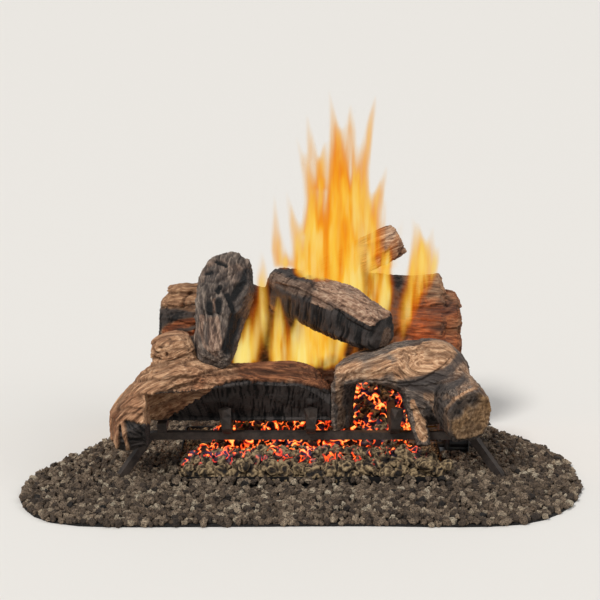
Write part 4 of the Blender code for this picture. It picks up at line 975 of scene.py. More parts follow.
LOGS = (
    Log("back_log", voxel=LONG_LOG_VOXEL, woods=(TAN, RUSSET), seed=101,
        spine_shares=((0, 0.5, 0.5), (0.5, 0.5, 0.55), (1, 0.5, 0.5)),
        ledge=(0.036, 0.0075, 0.25), fibre=(150, 16, 0.0026), crack=(50, 9, 0.0050),
        char=(char_ribs, 44, 60, 0.0048), burn=burn_back, soot=soot_low, toast=toast_back),
    Log("front_log_left", woods=(SAND, TOASTED), seed=211,
        spine_shares=((0.02, 0.5, -0.10), (0.07, 0.5, 0.30), (0.30, 0.5, 0.62), (0.62, 0.5, 0.72),
                      (1.0, 0.5, 0.66)),
        ledge=(0.030, 0.0045, 0.35), fibre=(190, 17, 0.0026), crack=(60, 10, 0.0022),
        char=(char_ribs, 150, 16, 0.0036), burn=burn_front_left, toast=toast_front_left,
        shape=shape_front_left, steps=FRONT_LEFT_STEPS, strands=FRONT_LEFT_STRANDS),
    Log("front_log_right", woods=(SAND, GREYED), seed=307,
        spine_shares=((0.0, 0.5, 0.70), (0.35, 0.5, 0.86), (0.70, 0.5, 0.74), (0.90, 0.4, 0.45),
                      (1.0, 0.3, 0.10)),
        ledge=(0.030, 0.0030, 0.4), fibre=(200, 18, 0.0026), crack=(60, 12, 0.0022),
        char=(char_ribs, 50, 110, 0.0030), burn=burn_front_right, soot=soot_front_right,
        toast=toast_front_right, shape=shape_front_right, steps=FRONT_RIGHT_STEPS,
        whorls=(((0.125, -0.030, 0.012), 0.026, 2.4), ((0.190, -0.030, 0.020), 0.022, -2.0))),
    Log("cross_log_left", body="cross_log_left", woods=(DRIFTWOOD, GREYED), seed=401,
        spine_shares=((0.5, 0.0, 0.12), (0.5, 0.35, 0.50), (0.5, 1.0, 0.62)),
        ledge=(0.022, 0.0030, -0.6), fibre=(105, 17, 0.0050), crack=(70, 13, 0.0040),
        char=(char_ribs, 30, 110, 0.0034), burn=burn_cross_left, soot=soot_cross_left,
        toast=toast_cross_left, shape=shape_cross_left, steps=CROSS_LEFT_STEPS),
    Log("cross_log_right", body="cross_log_right", woods=(PINKISH, DRIFTWOOD), seed=503,
        spine_shares=((0.0, 1.0, 0.85), (0.45, 0.55, 0.60), (1.0, 0.0, 0.28)),
        ledge=(0.020, 0.0010, 0.3), fibre=(130, 110, 0.0032), crack=(60, 55, 0.0035),
        char=(char_ribs, 78, 14, 0.0066), burn=burn_cross_right, soot=soot_low, steps=CROSS_RIGHT_STEPS),
    Log("top_log", body="top_log", woods=(PINKISH, SAND), seed=601,
        spine_shares=((0.0, 0.5, 0.20), (0.5, 0.5, 0.50), (1.0, 0.5, 0.80)),
        ledge=(0.018, 0.0025, 0.2), fibre=(180, 18, 0.0024), crack=(60, 10, 0.0026),
        char=(char_blocks, 70, 60, 0.0024), burn=burn_top),
)


def dress_log(log):
    """A log's skin: an even mesh over its solid, cut into bark and char, clear of what lies against it."""
    skin = voxelled(log.node + "_bark", welded(log.node), log.voxel)
    points = points_of(skin)
    normals = points_of(skin, "normal")
    grain = grain_of(points, spine_of(log.node, log.spine_shares))
    for middle, reach, turn in log.whorls:
        grain = swirled(grain, middle, reach, turn)
    at = Seen(points, normals, fractal(grain * RAGGED_RATES, log.seed + 50, 4))
    char = np.clip(log.burn(at), 0, 1)
    if log.strands:
        char = char * (1 - 0.9 * at.near(log.strands, 0))
    bare = 1 - char
    ledge_depth, ledge_share = ledges(grain, log.seed, *log.ledge)
    fibre_depth, crest = fibres(grain, log.seed + 30, *log.fibre)
    crack_depth, cracked = fissures(grain, log.seed + 60, *log.crack)
    charring, *char_sizes = log.char
    char_depth, seam = charring(grain, log.seed + 90, *char_sizes)
    wood_depth = ledge_depth * (1 - 0.7 * char) + (fibre_depth + crack_depth) * (1 - 0.9 * char)
    depth, eyes = log.shape(at, char, wood_depth + char_depth * char)
    step_depth, step_shade = at.steps(log.steps)
    depth += step_depth + SKIN_GRIT * fractal(points * SKIN_GRITS, log.seed + 70, 2) - SKIN_LIFT
    others = tree_of([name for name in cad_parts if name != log.node])
    room = distances(others, points, SEAT_REACH + OUTWARD_MOST)
    outward = np.clip(-depth, -1, np.minimum(OUTWARD_MOST, np.maximum(room - SEAT_ROOM, 0)))
    outward = outward * (0.15 + 0.85 * smooth(0.0, SEAT_REACH, room))
    move_points(skin, points + normals * outward[:, None])
    sawn = limb_face(at)[0] if log.node == "front_log_right" else at.none()
    # Painted shade, kept as the hollow mark: darker in cracks, char seams, knot eyes and burnt hollows, under
    # each step's lip and below each ledge
    shade = np.maximum.reduce([0.8 * cracked * bare, 0.9 * seam * char, eyes, 0.85 * step_shade,
                               0.70 * smooth(0.60, 0.98, ledge_share) * bare])
    keep_vector(skin, "grain", grain)
    keep_values(skin, char=char, soot=np.clip(log.soot(at), 0, 1), sawn=sawn * bare,
                tone=0.22 * noise(grain * TONE_RATES, log.seed + 40) + log.toast(at),
                # The crest mark paints raised fibres and char ribs paler: partly paint, partly painted
                # highlight
                crest=crest * bare + char * (1 - seam) * (0.8 + 0.2 * at.ragged),
                hollow=shade * (1 - 0.8 * sawn))
    skin.materials.append(log_material(log.node + "_cast", *log.woods))
    piece = shown(log.node + "_bark", skin)
    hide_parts(log.node)
    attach(piece, log.body)


# Loose stones: many copies of a few rough shapes
def rough_stones(count, seed, roughness, coarse):
    """Unit stones as one block of points, with the faces that they share."""
    bm = bmesh.new()
    bmesh.ops.create_icosphere(bm, subdivisions=2, radius=1.0)
    ball = np.array([v.co for v in bm.verts])
    faces = np.array([[v.index for v in f.verts] for f in bm.faces])
    bm.free()
    rng = np.random.default_rng(seed)
    stones = []
    for _ in range(count):
        at = ball * coarse + rng.uniform(-STONE_SPREAD, STONE_SPREAD, 3)
        swell = 1 + roughness * fractal(at, seed, 3)
        stones.append(ball * swell[:, None] * rng.uniform(*STONE_FLATNESS_SHARES, 3))
    return np.array(stones), faces


def turned(count, rng):
    """Evenly spread turns, as one block of 3 by 3 matrices."""
    turns = rng.normal(size=(count, 4))
    w, x, y, z = (turns / np.linalg.norm(turns, axis=1, keepdims=True)).T
    rows = ((1 - 2 * (y * y + z * z), 2 * (x * y - z * w), 2 * (x * z + y * w)),
            (2 * (x * y + z * w), 1 - 2 * (x * x + z * z), 2 * (y * z - x * w)),
            (2 * (x * z - y * w), 2 * (y * z + x * w), 1 - 2 * (x * x + y * y)))
    return np.moveaxis(np.array(rows), 2, 0)


def scattered(places, radii, stones, faces, seed):
    """Points and faces of one stone at each place."""
    rng = np.random.default_rng(seed)
    kinds = rng.integers(0, len(stones), len(places))
    points = np.einsum("nij,nkj->nki", turned(len(places), rng), stones[kinds])
    points = points * radii[:, None, None] + places[:, None, :]
    shift = np.arange(len(places))[:, None, None] * stones.shape[1]
    return points.reshape(-1, 3), (faces[None] + shift).reshape(-1, 3)


def seats_on(node, pitch, seed):
    """Jittered places on the node's upper face, one in each cell of a grid."""
    low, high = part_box(node)
    tree = tree_of([node])
    rng = np.random.default_rng(seed)
    seats = []
    rows = int((high.y - low.y) / (pitch * ROW_SHARE)) + 2
    columns = int((high.x - low.x) / pitch) + 2
    for row in range(rows):
        for column in range(columns):
            x = low.x + (column + 0.5 * (row % 2)) * pitch + rng.uniform(-STRAY_SHARE, STRAY_SHARE) * pitch
            y = low.y + row * pitch * ROW_SHARE + rng.uniform(-STRAY_SHARE, STRAY_SHARE) * pitch
            place, normal, _, _ = tree.ray_cast(Vector((x, y, high.z + pitch)), Vector((0, 0, -1)))
            if place is not None and normal.z > 0.1:
                seats.append(tuple(place))
    return np.array(seats)


def seats_by_valve(pitch, seed):
    """Jittered places on the bare hearth round the valve, where the bed leaves room for it."""
    corners = np.array([corner for node in VALVE_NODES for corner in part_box(node)])
    low = corners.min(axis=0) - VALVE_MARGIN
    high = corners.max(axis=0) + VALVE_MARGIN
    tree = tree_of(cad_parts)
    rng = np.random.default_rng(seed)
    seats = []
    for x, y in itertools.product(np.arange(low[0], high[0], pitch), np.arange(low[1], high[1], pitch)):
        strays = [rng.uniform(-VALVE_STRAY_SHARE, VALVE_STRAY_SHARE) * pitch for _ in range(2)]
        place = Vector((x + strays[0], y + strays[1], VALVE_SILL))
        if tree.ray_cast(place, Vector((0, 0, -1)))[0] is None:
            seats.append((place.x, place.y, 0.0))
    return np.array(seats)


def lowered(node, drop, least):
    """The node's solid with its upper side let down, as the ground under what lies on it."""
    mesh = welded(node)
    points = points_of(mesh)
    floor = points[:, 2].min()
    top = points[:, 2] > floor + least
    points[top, 2] = np.maximum(points[top, 2] - drop, floor + least)
    move_points(mesh, points)
    return mesh


# Lava: grit and pores per metre, and the depths of their shading
LAVA_GRIT_RATE = 520.0
LAVA_GRIT_DEPTH = 0.0018
LAVA_PORE_RATE = 420.0
LAVA_PORE_DEPTH = 0.0014


def granule_material():
    """Porous lava: charcoal grey to warm brown from stone to stone, with painted shade in its pores."""
    material, tree, surface = new_material("lava_stone")
    place = object_place(tree)
    # Stone 0, the ground under the stones, is near black: painted shade in the gaps between them
    body = stops(tree, attribute(tree, "stone"), (0.0, colour(14, 12, 11)), (0.03, colour(72, 58, 46)),
                 (0.50, colour(124, 104, 84)), (0.78, colour(156, 135, 112)), (0.93, colour(184, 164, 138)),
                 (1.0, colour(212, 196, 170)))
    grit = noise_in(tree, place, LAVA_GRIT_RATE, 4.0, 0.75)
    pores = cells_in(tree, place, LAVA_PORE_RATE)
    tint = blend(tree, span(tree, grit, 0.40, 0.66), body, colour(22, 18, 16))
    put_all(tree, surface, {
        # Painted shade in the pores
        "Base Color": blend(tree, span(tree, pores, 0.08, 0.42, 0.85, 0.0), tint, colour(12, 10, 9)),
        "Roughness": 0.88,
        "Normal": bump(tree, pores, 0.9, LAVA_PORE_DEPTH, bump(tree, grit, 0.9, LAVA_GRIT_DEPTH)),
    })
    return material


def dress_lava():
    """The bed as loose stones over its lowered solid, banked against the pan and strewn round the valve."""
    stones, faces = rough_stones(GRANULE_VARIANTS, 11, GRANULE_ROUGHNESS, GRANULE_COARSENESS)
    seats = seats_on("lava_bed", GRANULE_PITCH, 12)
    rng = np.random.default_rng(13)
    radii = GRANULE_RADIUS * rng.uniform(*GRANULE_SIZE_SHARES, len(seats))
    sunk = radii * rng.uniform(*GRANULE_SUNK_SHARES, len(seats))
    seats[:, 2] = np.maximum(seats[:, 2] - sunk, radii * GRANULE_LEAST_SHARE)
    beside_valve = seats_by_valve(GRANULE_PITCH * VALVE_PITCH_SHARE, 17)
    beside_valve[:, 2] += GRANULE_RADIUS * rng.uniform(*VALVE_RISE_SHARES, len(beside_valve))
    seats = np.vstack([seats, beside_valve])
    radii = np.append(radii, GRANULE_RADIUS * rng.uniform(*VALVE_SIZE_SHARES, len(beside_valve)))
    pan_low, pan_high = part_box("burner_pan")
    beside = np.maximum.reduce([pan_low.x - seats[:, 0], seats[:, 0] - pan_high.x, pan_low.y - seats[:, 1]])
    seats[:, 2] += GRANULE_BANK * smooth(BANK_REACH, 0, beside) * (seats[:, 1] < 0)
    tint = granule_material()
    base = lowered("lava_bed", BASE_DROP, BASE_LEAST)
    base.materials.clear()
    base.materials.append(tint)
    # The ground under the stones takes the darkest colour: painted shade in the gaps between them
    keep_values(base, stone=np.zeros(len(base.vertices)))
    ground = shown("lava_ground", base)
    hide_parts("lava_bed")
    pieces = [ground]
    order = np.argsort(seats[:, 0], kind="stable")
    for part, chosen in enumerate(np.array_split(order, GRANULE_PIECES)):
        points, triangles = scattered(seats[chosen], radii[chosen], stones, faces, 14 + part)
        points[:, 2] = np.maximum(points[:, 2], 0)
        mesh = mesh_of("lava_granules_%d" % part, points, triangles)
        keep_values(mesh, stone=np.repeat(rng.uniform(0, 1, len(chosen)), stones.shape[1]))
        mesh.materials.append(tint)
        pieces.append(shown(mesh.name, mesh))
    for piece in pieces:
        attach(piece, ROOT_BODY)


# Wool: tufts and patches of painted purple glow per metre, the depth of its shading, and linear colours of
# its glow from cold to hot
WOOL_RATE = 900.0
WOOL_DEPTH = 0.0010
PURPLE_GLOW_RATE = 34.0
GLOW_COLD = (0.0, 0.0, 0.0, 1.0)
GLOW_DULL = (0.25, 0.008, 0.004, 1.0)
GLOW_RED = (0.90, 0.055, 0.006, 1.0)
GLOW_ORANGE = (1.0, 0.20, 0.02, 1.0)
GLOW_YELLOW = (1.0, 0.50, 0.12, 1.0)


def ember_material(name, heat):
    """Rock wool: olive grey where it is cold, paler on its curls as painted highlight, red to yellow along
    its threads where it glows.
    """
    material, tree, surface = new_material(name)
    place = object_place(tree)
    glow = attribute(tree, "glow")
    wool = noise_in(tree, place, WOOL_RATE, 4.0, 0.65)
    # Curl crests paint the wool paler: painted highlight
    tuft = times_plus(tree, wool, 0.45, times(tree, attribute(tree, "crest"), 0.55))
    cold = stops(tree, tuft, (0.22, colour(20, 15, 11)), (0.48, colour(88, 71, 50)),
                 (0.78, colour(166, 143, 108)))
    # Where it glows its base turns dark red with purple patches: the purple is painted glow of faint blue
    # flames
    patches = span(tree, noise_in(tree, place, PURPLE_GLOW_RATE, 2.0), 0.46, 0.60)
    ash_with_painted_glow = blend(tree, glow, cold, blend(tree, patches, colour(44, 19, 14), colour(58, 42, 84)))
    thread = times(tree, glow, attribute(tree, "thread"))
    thread = times_plus(tree, wool, 0.22, plus(tree, thread, -0.11))
    put_all(tree, surface, {
        # Painted shade: the hollow mark darkens the wool between its curls
        "Base Color": blend(tree, span(tree, attribute(tree, "hollow"), 0.3, 0.9), ash_with_painted_glow, colour(18, 12, 10)),
        "Roughness": 0.95,
        "Emission Color": stops(tree, thread, (0.12, GLOW_COLD), (0.34, GLOW_DULL), (0.60, GLOW_RED),
                                (0.86, GLOW_ORANGE), (1.0, GLOW_YELLOW)),
        "Emission Strength": heat,
        "Normal": bump(tree, wool, 0.7, WOOL_DEPTH),
    })
    return material


def glow_front(points, low, high):
    """Full glow but for the cold front and ends of the heap."""
    back = smooth(low.y + GLOW_FRONT[0], low.y + GLOW_FRONT[1], points[:, 1])
    right = smooth(high.x + GLOW_RIGHT[0], high.x + GLOW_RIGHT[1], points[:, 0])
    left = smooth(low.x + GLOW_LEFT[0], low.x + GLOW_LEFT[1], points[:, 0])
    return back * (right * left)


def glow_rear(points, low, high):
    """Full glow everywhere."""
    return np.ones(len(points))


def front_lumps():
    return [(*seen_at(u, v, FRONT_LUMP_Y), radius / PIXELS_PER_METRE) for u, v, radius in FRONT_LUMPS_PX]


def dress_embers(node, voxel, seed, glow_in, corner, folds, glowing):
    """A heap of torn rock wool over the burner, grown from lumps and curled into threads."""
    low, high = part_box(node)
    stones, faces = rough_stones(EMBER_VARIANTS, seed, EMBER_ROUGHNESS, EMBER_COARSENESS)
    seats = seats_on(node, EMBER_PITCH, seed + 1)
    rng = np.random.default_rng(seed + 2)
    radii = EMBER_RADIUS * rng.uniform(*EMBER_SIZE_SHARES, len(seats))
    seats[:, 2] -= radii * rng.uniform(*EMBER_SUNK_SHARES, len(seats))
    keep = ((seats[:, 0] > low.x + EMBER_RADIUS) & (seats[:, 0] < high.x - EMBER_RADIUS)
            & (seats[:, 1] > low.y + LIP_MARGIN) & (seats[:, 1] < high.y - EMBER_RADIUS))
    lip = smooth(low.y + LIP_START, low.y + LIP_END, seats[:, 1])
    seats[:, 2] = np.maximum(seats[:, 2], lip * LIP_REST)
    seats = np.vstack([seats[keep], np.array(corner)[:, :3]])
    radii = np.append(radii[keep], np.array(corner)[:, 3])
    points, triangles = scattered(seats, radii, stones, faces, seed + 3)
    heap = bmesh.new()
    heap.from_mesh(lowered(node, EMBER_DROP, BASE_LEAST))
    heap.from_mesh(mesh_of(node + "_lumps", points, triangles))
    rough = bpy.data.meshes.new(node + "_heap")
    heap.to_mesh(rough)
    heap.free()
    skin = voxelled(node + "_wool", rough, voxel)
    points = points_of(skin)
    normals = points_of(skin, "normal")
    bent = swayed(points, seed + 4, *WOOL_SWAY)
    curl = ridged(bent * CURLS, seed + 7, 2)
    shreds = ridged(bent * SHREDS, seed + 8, 1)
    fold = ridged(bent * folds, seed + 10, 1)
    rise = CURL_HEIGHT * (curl - 0.55) + SHRED_HEIGHT * (shreds - 0.5) + FOLD_HEIGHT * fold
    rise = rise * smooth(low.z + FOOT_START, low.z + FOOT_END, points[:, 2])
    moved = points + normals * rise[:, None]
    moved[:, 2] = np.maximum(moved[:, 2], low.z)
    move_points(skin, moved)
    patches = smooth(-glowing, 0.5 - glowing, fractal(points * GLOW_PATCHES, seed + 9, 3))
    # Crest paints the curls paler as painted highlight; hollow darkens between them as painted shade
    keep_values(skin, glow=glow_in(points, low, high) * patches, thread=smooth(0.54, 0.88, fold),
                crest=smooth(0.30, 0.90, 0.75 * curl + 0.25 * shreds), hollow=1 - smooth(0.15, 0.6, curl))
    skin.materials.append(ember_material(node + "_glow", EMBER_HEAT))
    piece = shown(node + "_wool", skin)
    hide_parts(node)
    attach(piece, ROOT_BODY)


def dress_sand():
    """Cold tufts of wool on the sand that the heaps leave bare."""
    seats = seats_on("pan_sand", WOOL_PITCH, 801)
    bare = np.ones(len(seats), bool)
    for low, high in (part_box(node) for node in ("ember_bed_front", "ember_bed_rear")):
        inside = (seats[:, 0] > low.x + WOOL_MARGIN) & (seats[:, 0] < high.x - WOOL_MARGIN)
        bare &= ~(inside & (seats[:, 1] > low.y) & (seats[:, 1] < high.y))
    seats = seats[bare]
    stones, faces = rough_stones(EMBER_VARIANTS, 802, EMBER_ROUGHNESS, EMBER_COARSENESS)
    radii = WOOL_RADIUS * np.random.default_rng(803).uniform(*WOOL_SIZE_SHARES, len(seats))
    points, triangles = scattered(seats, radii, stones, faces, 804)
    skin = voxelled("pan_wool", mesh_of("pan_wool_lumps", points, triangles), FRONT_EMBER_VOXEL)
    points = points_of(skin)
    curl = ridged(points * WOOL_CURLS, 805, 2)
    move_points(skin, points + points_of(skin, "normal") * (WOOL_CURL_HEIGHT * (curl - 0.55))[:, None])
    cold = np.zeros(len(points))
    # Crest paints the curls paler as painted highlight; hollow darkens between them as painted shade
    keep_values(skin, glow=cold, thread=cold, crest=smooth(0.35, 0.95, curl),
                hollow=1 - smooth(0.15, 0.6, curl))
    skin.materials.append(ember_material("pan_wool_cold", 0.0))
    piece = shown("pan_wool", skin)
    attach(piece, ROOT_BODY)


# The other finishes: dark and pale colour, roughness, how metallic, clouds per metre and depth of relief
FINISHES = {
    "grate_steel": ((38, 33, 31), (80, 69, 62), 0.62, 0.4, 60.0, 0.0006),
    "pan_steel": ((16, 16, 17), (30, 29, 30), 0.45, 0.3, 40.0, 0.0002),
    "burner_steel": ((88, 84, 80), (136, 130, 124), 0.42, 1.0, 50.0, 0.0003),
    "bracket_steel": ((120, 121, 122), (160, 161, 162), 0.38, 1.0, 70.0, 0.0002),
    "valve_aluminium": ((140, 141, 142), (178, 178, 176), 0.48, 1.0, 90.0, 0.0004),
    "brass": ((150, 112, 52), (196, 156, 84), 0.32, 1.0, 60.0, 0.0002),
    "knob_plastic": ((18, 18, 19), (26, 26, 27), 0.42, 0.0, 300.0, 0.0001),
    "button_plastic": ((44, 42, 42), (66, 63, 62), 0.36, 0.0, 300.0, 0.0001),
    "electrode_ceramic": ((212, 206, 194), (230, 226, 216), 0.3, 0.0, 120.0, 0.0001),
}
SPECKS_PER_CLOUD = 9
SAND_GRAIN_RATE = 900.0
SAND_GRAIN_DEPTH = 0.0008


def worn_finish(name, dark, pale, roughness, metallic, clouds, depth):
    """Two colours in soft clouds and fine specks."""
    material, tree, surface = new_material(name)
    place = object_place(tree)
    cloud = noise_in(tree, place, clouds, 6.0, 0.65)
    speck = noise_in(tree, place, clouds * SPECKS_PER_CLOUD, 3.0, 0.7)
    share = times_plus(tree, cloud, 0.7, times(tree, speck, 0.3))
    put_all(tree, surface, {
        "Base Color": stops(tree, share, (0.36, colour(*dark)), (0.64, colour(*pale))),
        "Roughness": span(tree, speck, 0.3, 0.7, roughness - 0.08, roughness + 0.10),
        "Metallic": metallic,
        "Normal": bump(tree, share, 0.4, depth),
    })
    return material


def sand_material():
    material, tree, surface = new_material("silica_sand")
    place = object_place(tree)
    grains = cells_in(tree, place, SAND_GRAIN_RATE, "Color")
    put_all(tree, surface, {
        "Base Color": blend(tree, 0.35, colour(178, 160, 130), grains, "SOFT_LIGHT"),
        "Roughness": 0.95,
        "Normal": bump(tree, cells_in(tree, place, SAND_GRAIN_RATE), 0.8, SAND_GRAIN_DEPTH),
    })
    return material


def dress_carried():
    """Gives the solids that have no skin of their own the finish of their slot."""
    finishes = {}
    for slot, values in FINISHES.items():
        finishes[slot] = worn_finish(slot.split("_")[0] + "_finish", *values)
    finishes["pan_sand"] = sand_material()
    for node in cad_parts.values():
        for seat in node.material_slots:
            for slot, finish in finishes.items():
                if seat.material is not None and seat.material.name.startswith(slot):
                    seat.material = finish


# Flames, staged: they are no piece of the object. Each tongue has its depth along y and its stations from the
# tip down: pixel in the photograph's frame and half width in pixels
FLAME_TONGUES_PX = (
    (0.080, ((329, 90, 0.4), (333, 118, 3.5), (338, 150, 9), (341, 190, 14), (339, 240, 22), (332, 300, 27),
             (322, 360, 22))),
    (0.085, ((376, 95, 0.4), (372, 115, 3), (367, 140, 5), (361, 172, 8), (357, 210, 13), (352, 260, 19),
             (350, 320, 15))),
    (0.078, ((351, 104, 0.6), (350, 130, 6), (348, 165, 9), (346, 210, 12))),
    (0.070, ((307, 114, 0.4), (310, 138, 3.5), (314, 162, 6), (318, 195, 9), (321, 235, 16), (318, 285, 22))),
    (0.075, ((296, 136, 0.4), (302, 156, 2.6), (307, 176, 5), (311, 202, 7), (313, 235, 12))),
    (0.082, ((325, 142, 0.8), (322, 162, 4), (319, 190, 6))),
    (0.080, ((387, 165, 0.4), (383, 181, 3.2), (378, 197, 6), (373, 218, 8.5), (368, 245, 11),
             (360, 275, 14))),
    (0.085, ((387, 200, 0.4), (384, 215, 2.6), (380, 235, 5.5), (374, 258, 9))),
    (0.060, ((274, 194, 0.4), (275, 212, 2.4), (276, 230, 5), (279, 250, 8), (286, 268, 12))),
    (0.068, ((286, 191, 0.4), (291, 212, 3.2), (296, 234, 6.5), (301, 255, 10), (308, 275, 15))),
    (0.050, ((261, 249, 0.4), (262, 264, 4), (262, 280, 7), (261, 298, 9), (259, 315, 10), (256, 330, 11),
             (251, 348, 13), (247, 366, 13))),
    (0.060, ((418, 222, 0.5), (420, 248, 7), (417, 272, 12), (411, 298, 12), (404, 320, 9), (399, 340, 6))),
    (0.070, ((392, 258, 0.8), (391, 282, 6), (389, 304, 8), (387, 324, 7), (385, 340, 4))),
    (0.040, ((246, 318, 0.6), (244, 332, 4), (240, 350, 7), (238, 366, 8))),
    (0.045, ((278, 296, 1.5), (279, 314, 6), (281, 334, 11), (283, 352, 15), (285, 368, 16))),
    (0.050, ((300, 306, 3), (303, 328, 10), (303, 350, 13), (302, 368, 14))),
    (0.058, ((322, 326, 1), (322, 340, 5), (318, 354, 7), (314, 368, 8))),
    (0.062, ((338, 332, 1), (340, 344, 4), (338, 356, 6), (334, 368, 7))),
    (0.064, ((356, 340, 0.8), (355, 352, 4), (352, 360, 5), (350, 368, 5))),
    (0.060, ((412, 216, 0.4), (415, 232, 3.4), (417, 252, 7), (416, 272, 11), (412, 292, 12.5),
             (406, 312, 11), (400, 332, 8), (397, 346, 5))),
    (0.062, ((433, 226, 0.4), (431, 241, 3), (428, 257, 6.5), (423, 277, 10), (416, 297, 11))),
    (0.064, ((439, 245, 0.4), (436, 259, 3.4), (431, 274, 6), (424, 291, 7))),
    (0.066, ((403, 219, 0.6), (399, 234, 3.4), (393, 250, 6), (388, 268, 10))),
    (0.075, ((381, 246, 2), (383, 268, 9), (381, 292, 14), (375, 316, 13), (368, 336, 8))),
    (0.075, ((322, 246, 10), (326, 280, 24), (334, 300, 20))),
    (0.070, ((345, 250, 6), (352, 280, 14), (358, 306, 14), (360, 322, 10))),
    (0.074, ((374, 214, 0.6), (370, 236, 6), (366, 260, 9), (363, 286, 11), (360, 306, 9))),
    (0.052, ((349, 322, 0.6), (345, 334, 5), (340, 348, 7), (334, 362, 8), (330, 370, 7))),
)


def tongue(bm, depth, stations):
    """One closed, tapered tongue of flame through its stations."""
    marks = np.array([(*seen_at(u, v, depth), half / PIXELS_PER_METRE) for u, v, half in stations])
    places = np.linspace(0, len(marks) - 1, FLAME_RINGS)
    rows = np.stack([np.interp(places, range(len(marks)), marks[:, axis]) for axis in range(4)], axis=1)
    loops = []
    for x, y, z, half_width in rows:
        radius = half_width + FLAME_GROWTH
        loops.append([
            bm.verts.new((x + math.cos(turn) * radius, y + math.sin(turn) * radius * FLAME_FLATNESS, z))
            for turn in (math.tau * k / FLAME_SIDES for k in range(FLAME_SIDES))
        ])
    for one, two in zip(loops, loops[1:]):
        for k in range(FLAME_SIDES):
            bm.faces.new((one[k], two[k], two[(k + 1) % FLAME_SIDES], one[(k + 1) % FLAME_SIDES]))
    bm.faces.new(loops[0])
    bm.faces.new(loops[-1][::-1])


# Flame colours from its edges to its core
FLAME_EDGE = colour(232, 96, 8)
FLAME_BODY = colour(250, 150, 24)
FLAME_HEART = colour(254, 200, 66)
FLAME_CORE = colour(255, 234, 146)


def veiled(tint):
    """A flame colour raised by how fast the flame hides each part of the light."""
    return (*(part * share for part, share in zip(tint, FLAME_VEIL_SHARES)), 1.0)


def flame_material():
    """Thin orange edges over a pale yellow core, in soft upright streaks."""
    material = bpy.data.materials.new("flame_glow")
    material.use_nodes = True
    tree = material.node_tree
    tree.nodes.remove(tree.nodes["Principled BSDF"])
    place = object_place(tree)
    body = attribute(tree, "density")
    streak = noise_in(tree, place_in(tree, place, FLAME_STREAKS), 1.0, 3.0, 0.5)
    lick = noise_in(tree, place_in(tree, place, FLAME_LICKS), 1.0, 2.0, 0.5)
    height = added(tree, "SeparateXYZ", {"Vector": place}).outputs["Z"]
    rise = span(tree, height, FLAME_FOOT_Z, FLAME_TIP_Z)
    heat = times_plus(tree, span(tree, streak, 0.36, 0.62), 0.50, times(tree, body, 0.80))
    heat = minus(tree, heat, times_plus(tree, rise, 0.55, 0.16))
    full = times(tree, span(tree, lick, 0.36, 0.60, 0.12, 1.0), span(tree, streak, 0.34, 0.60, 0.15, 1.0))
    heat = times_plus(tree, span(tree, full, 0.1, 0.7), 0.55, plus(tree, heat, -0.45))
    tint = stops(tree, heat, (0.02, veiled(FLAME_EDGE)), (0.30, veiled(FLAME_BODY)),
                 (0.60, veiled(FLAME_HEART)), (0.90, veiled(FLAME_CORE)))
    thick = times(tree, times(tree, body, full), FLAME_THICKNESS)
    most = max(FLAME_VEIL_SHARES)
    passed = (*(1 - share / most for share in FLAME_VEIL_SHARES), 1.0)
    glow = added(tree, "Emission", {"Color": tint, "Strength": thick})
    veil = added(tree, "VolumeAbsorption", {"Color": passed, "Density": times(tree, thick, most)})
    both = tree.nodes.new("ShaderNodeAddShader")
    for number, part in enumerate((glow, veil)):
        tree.links.new(part.outputs[0], both.inputs[number])
    tree.links.new(both.outputs[0], tree.nodes["Material Output"].inputs["Volume"])
    return material


def flames():
    """The tongues as one glowing volume, which lights nothing by itself."""
    bm = bmesh.new()
    for depth, stations in FLAME_TONGUES_PX:
        tongue(bm, depth, stations)
    rough = bpy.data.meshes.new("flame_tongues")
    bm.to_mesh(rough)
    bm.free()
    source = shown("flame_tongues", voxelled("flame_tongues", rough, FLAME_VOXEL))
    source.hide_render = True
    source.display_type = "WIRE"
    volume = shown("flames", bpy.data.volumes.new("flames"))
    fill = volume.modifiers.new("fill", "MESH_TO_VOLUME")
    fill.object = source
    fill.density = 1.0
    fill.resolution_mode = "VOXEL_SIZE"
    fill.voxel_size = FLAME_VOXEL
    fill.interior_band_width = FLAME_BAND
    volume.data.materials.append(flame_material())
    volume.visible_shadow = False
    volume.visible_diffuse = False
    volume.visible_glossy = False


# Where the flames light the logs from, and how strongly, in watts
FIRE_LIGHTS = ((-0.055, 0.055, 0.150, 0.16), (0.020, 0.070, 0.180, 0.20), (0.080, 0.060, 0.220, 0.16),
               (0.165, 0.070, 0.205, 0.16), (-0.060, 0.070, 0.240, 0.08))


def fire_light():
    for number, (x, y, z, power) in enumerate(FIRE_LIGHTS):
        lamp = bpy.data.lights.new("fire_light_%d" % number, "POINT")
        lamp.energy = power
        lamp.shadow_soft_size = FIRE_LIGHT_RADIUS
        lamp.color = FIRE_LIGHT_TINT
        shown(lamp.name, lamp).location = (x, y, z)


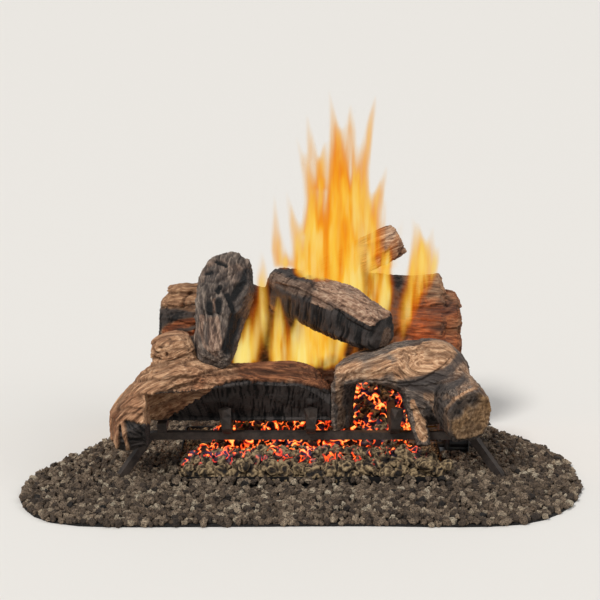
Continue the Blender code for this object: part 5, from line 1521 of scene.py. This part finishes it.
# Stage: floor, light and camera
def floor():
    corners = [(x * FLOOR_HALF, y * FLOOR_HALF, 0) for x, y in ((-1, -1), (1, -1), (1, 1), (-1, 1))]
    mesh = mesh_of("floor", corners, ((0, 1, 2, 3),))
    material, tree, surface = new_material("pale_floor")
    put_all(tree, surface, {"Base Color": colour(226, 223, 218), "Roughness": 0.9})
    mesh.materials.append(material)
    piece = shown("floor", mesh)
    piece.location.z = -FLOOR_DROP


# The two suns: direction, strength, angle in degrees and tint
SUNS = {
    "key_light": ((0.45, 0.62, -0.80), 2.3, 14, (1.0, 0.985, 0.96)),
    "fill_light": ((-0.70, 0.30, -0.55), 0.7, 40, (0.95, 0.97, 1.0)),
}


def sun(name, towards, strength, angle, tint):
    lamp = bpy.data.lights.new(name, "SUN")
    lamp.energy = strength
    lamp.angle = math.radians(angle)
    lamp.color = tint
    shown(name, lamp).rotation_euler = Vector(towards).to_track_quat("-Z", "Y").to_euler()


def camera():
    data = bpy.data.cameras.new("photo_camera")
    data.sensor_width = SENSOR_MM
    data.lens = PIXELS_PER_METRE * CAMERA_DISTANCE / IMAGE_SIDE_PX * data.sensor_width
    piece = shown("photo_camera", data)
    back = Vector(EYE_WAY)
    piece.location = CAMERA_TARGET + back * CAMERA_DISTANCE
    piece.rotation_euler = (-back).to_track_quat("-Z", "Y").to_euler()
    bpy.context.scene.camera = piece


def stage():
    floor()
    for name, values in SUNS.items():
        sun(name, *values)
    world = bpy.data.worlds.new("studio")
    bpy.context.scene.world = world
    world.use_nodes = True
    background = world.node_tree.nodes["Background"]
    put_all(world.node_tree, background, {"Color": (1.0, 1.0, 1.0, 1.0), "Strength": WORLD_STRENGTH})
    bpy.context.scene.view_settings.view_transform = "Standard"
    camera()


def main():
    stage()
    dress_carried()
    for log in LOGS:
        dress_log(log)
    dress_embers("ember_bed_front", FRONT_EMBER_VOXEL, 701, glow_front, front_lumps(),
                 FRONT_FOLDS, FRONT_GLOWING)
    dress_embers("ember_bed_rear", REAR_EMBER_VOXEL, 751, glow_rear, CORNER_LUMPS, REAR_FOLDS, REAR_GLOWING)
    dress_sand()
    dress_lava()
    flames()
    fire_light()


main()
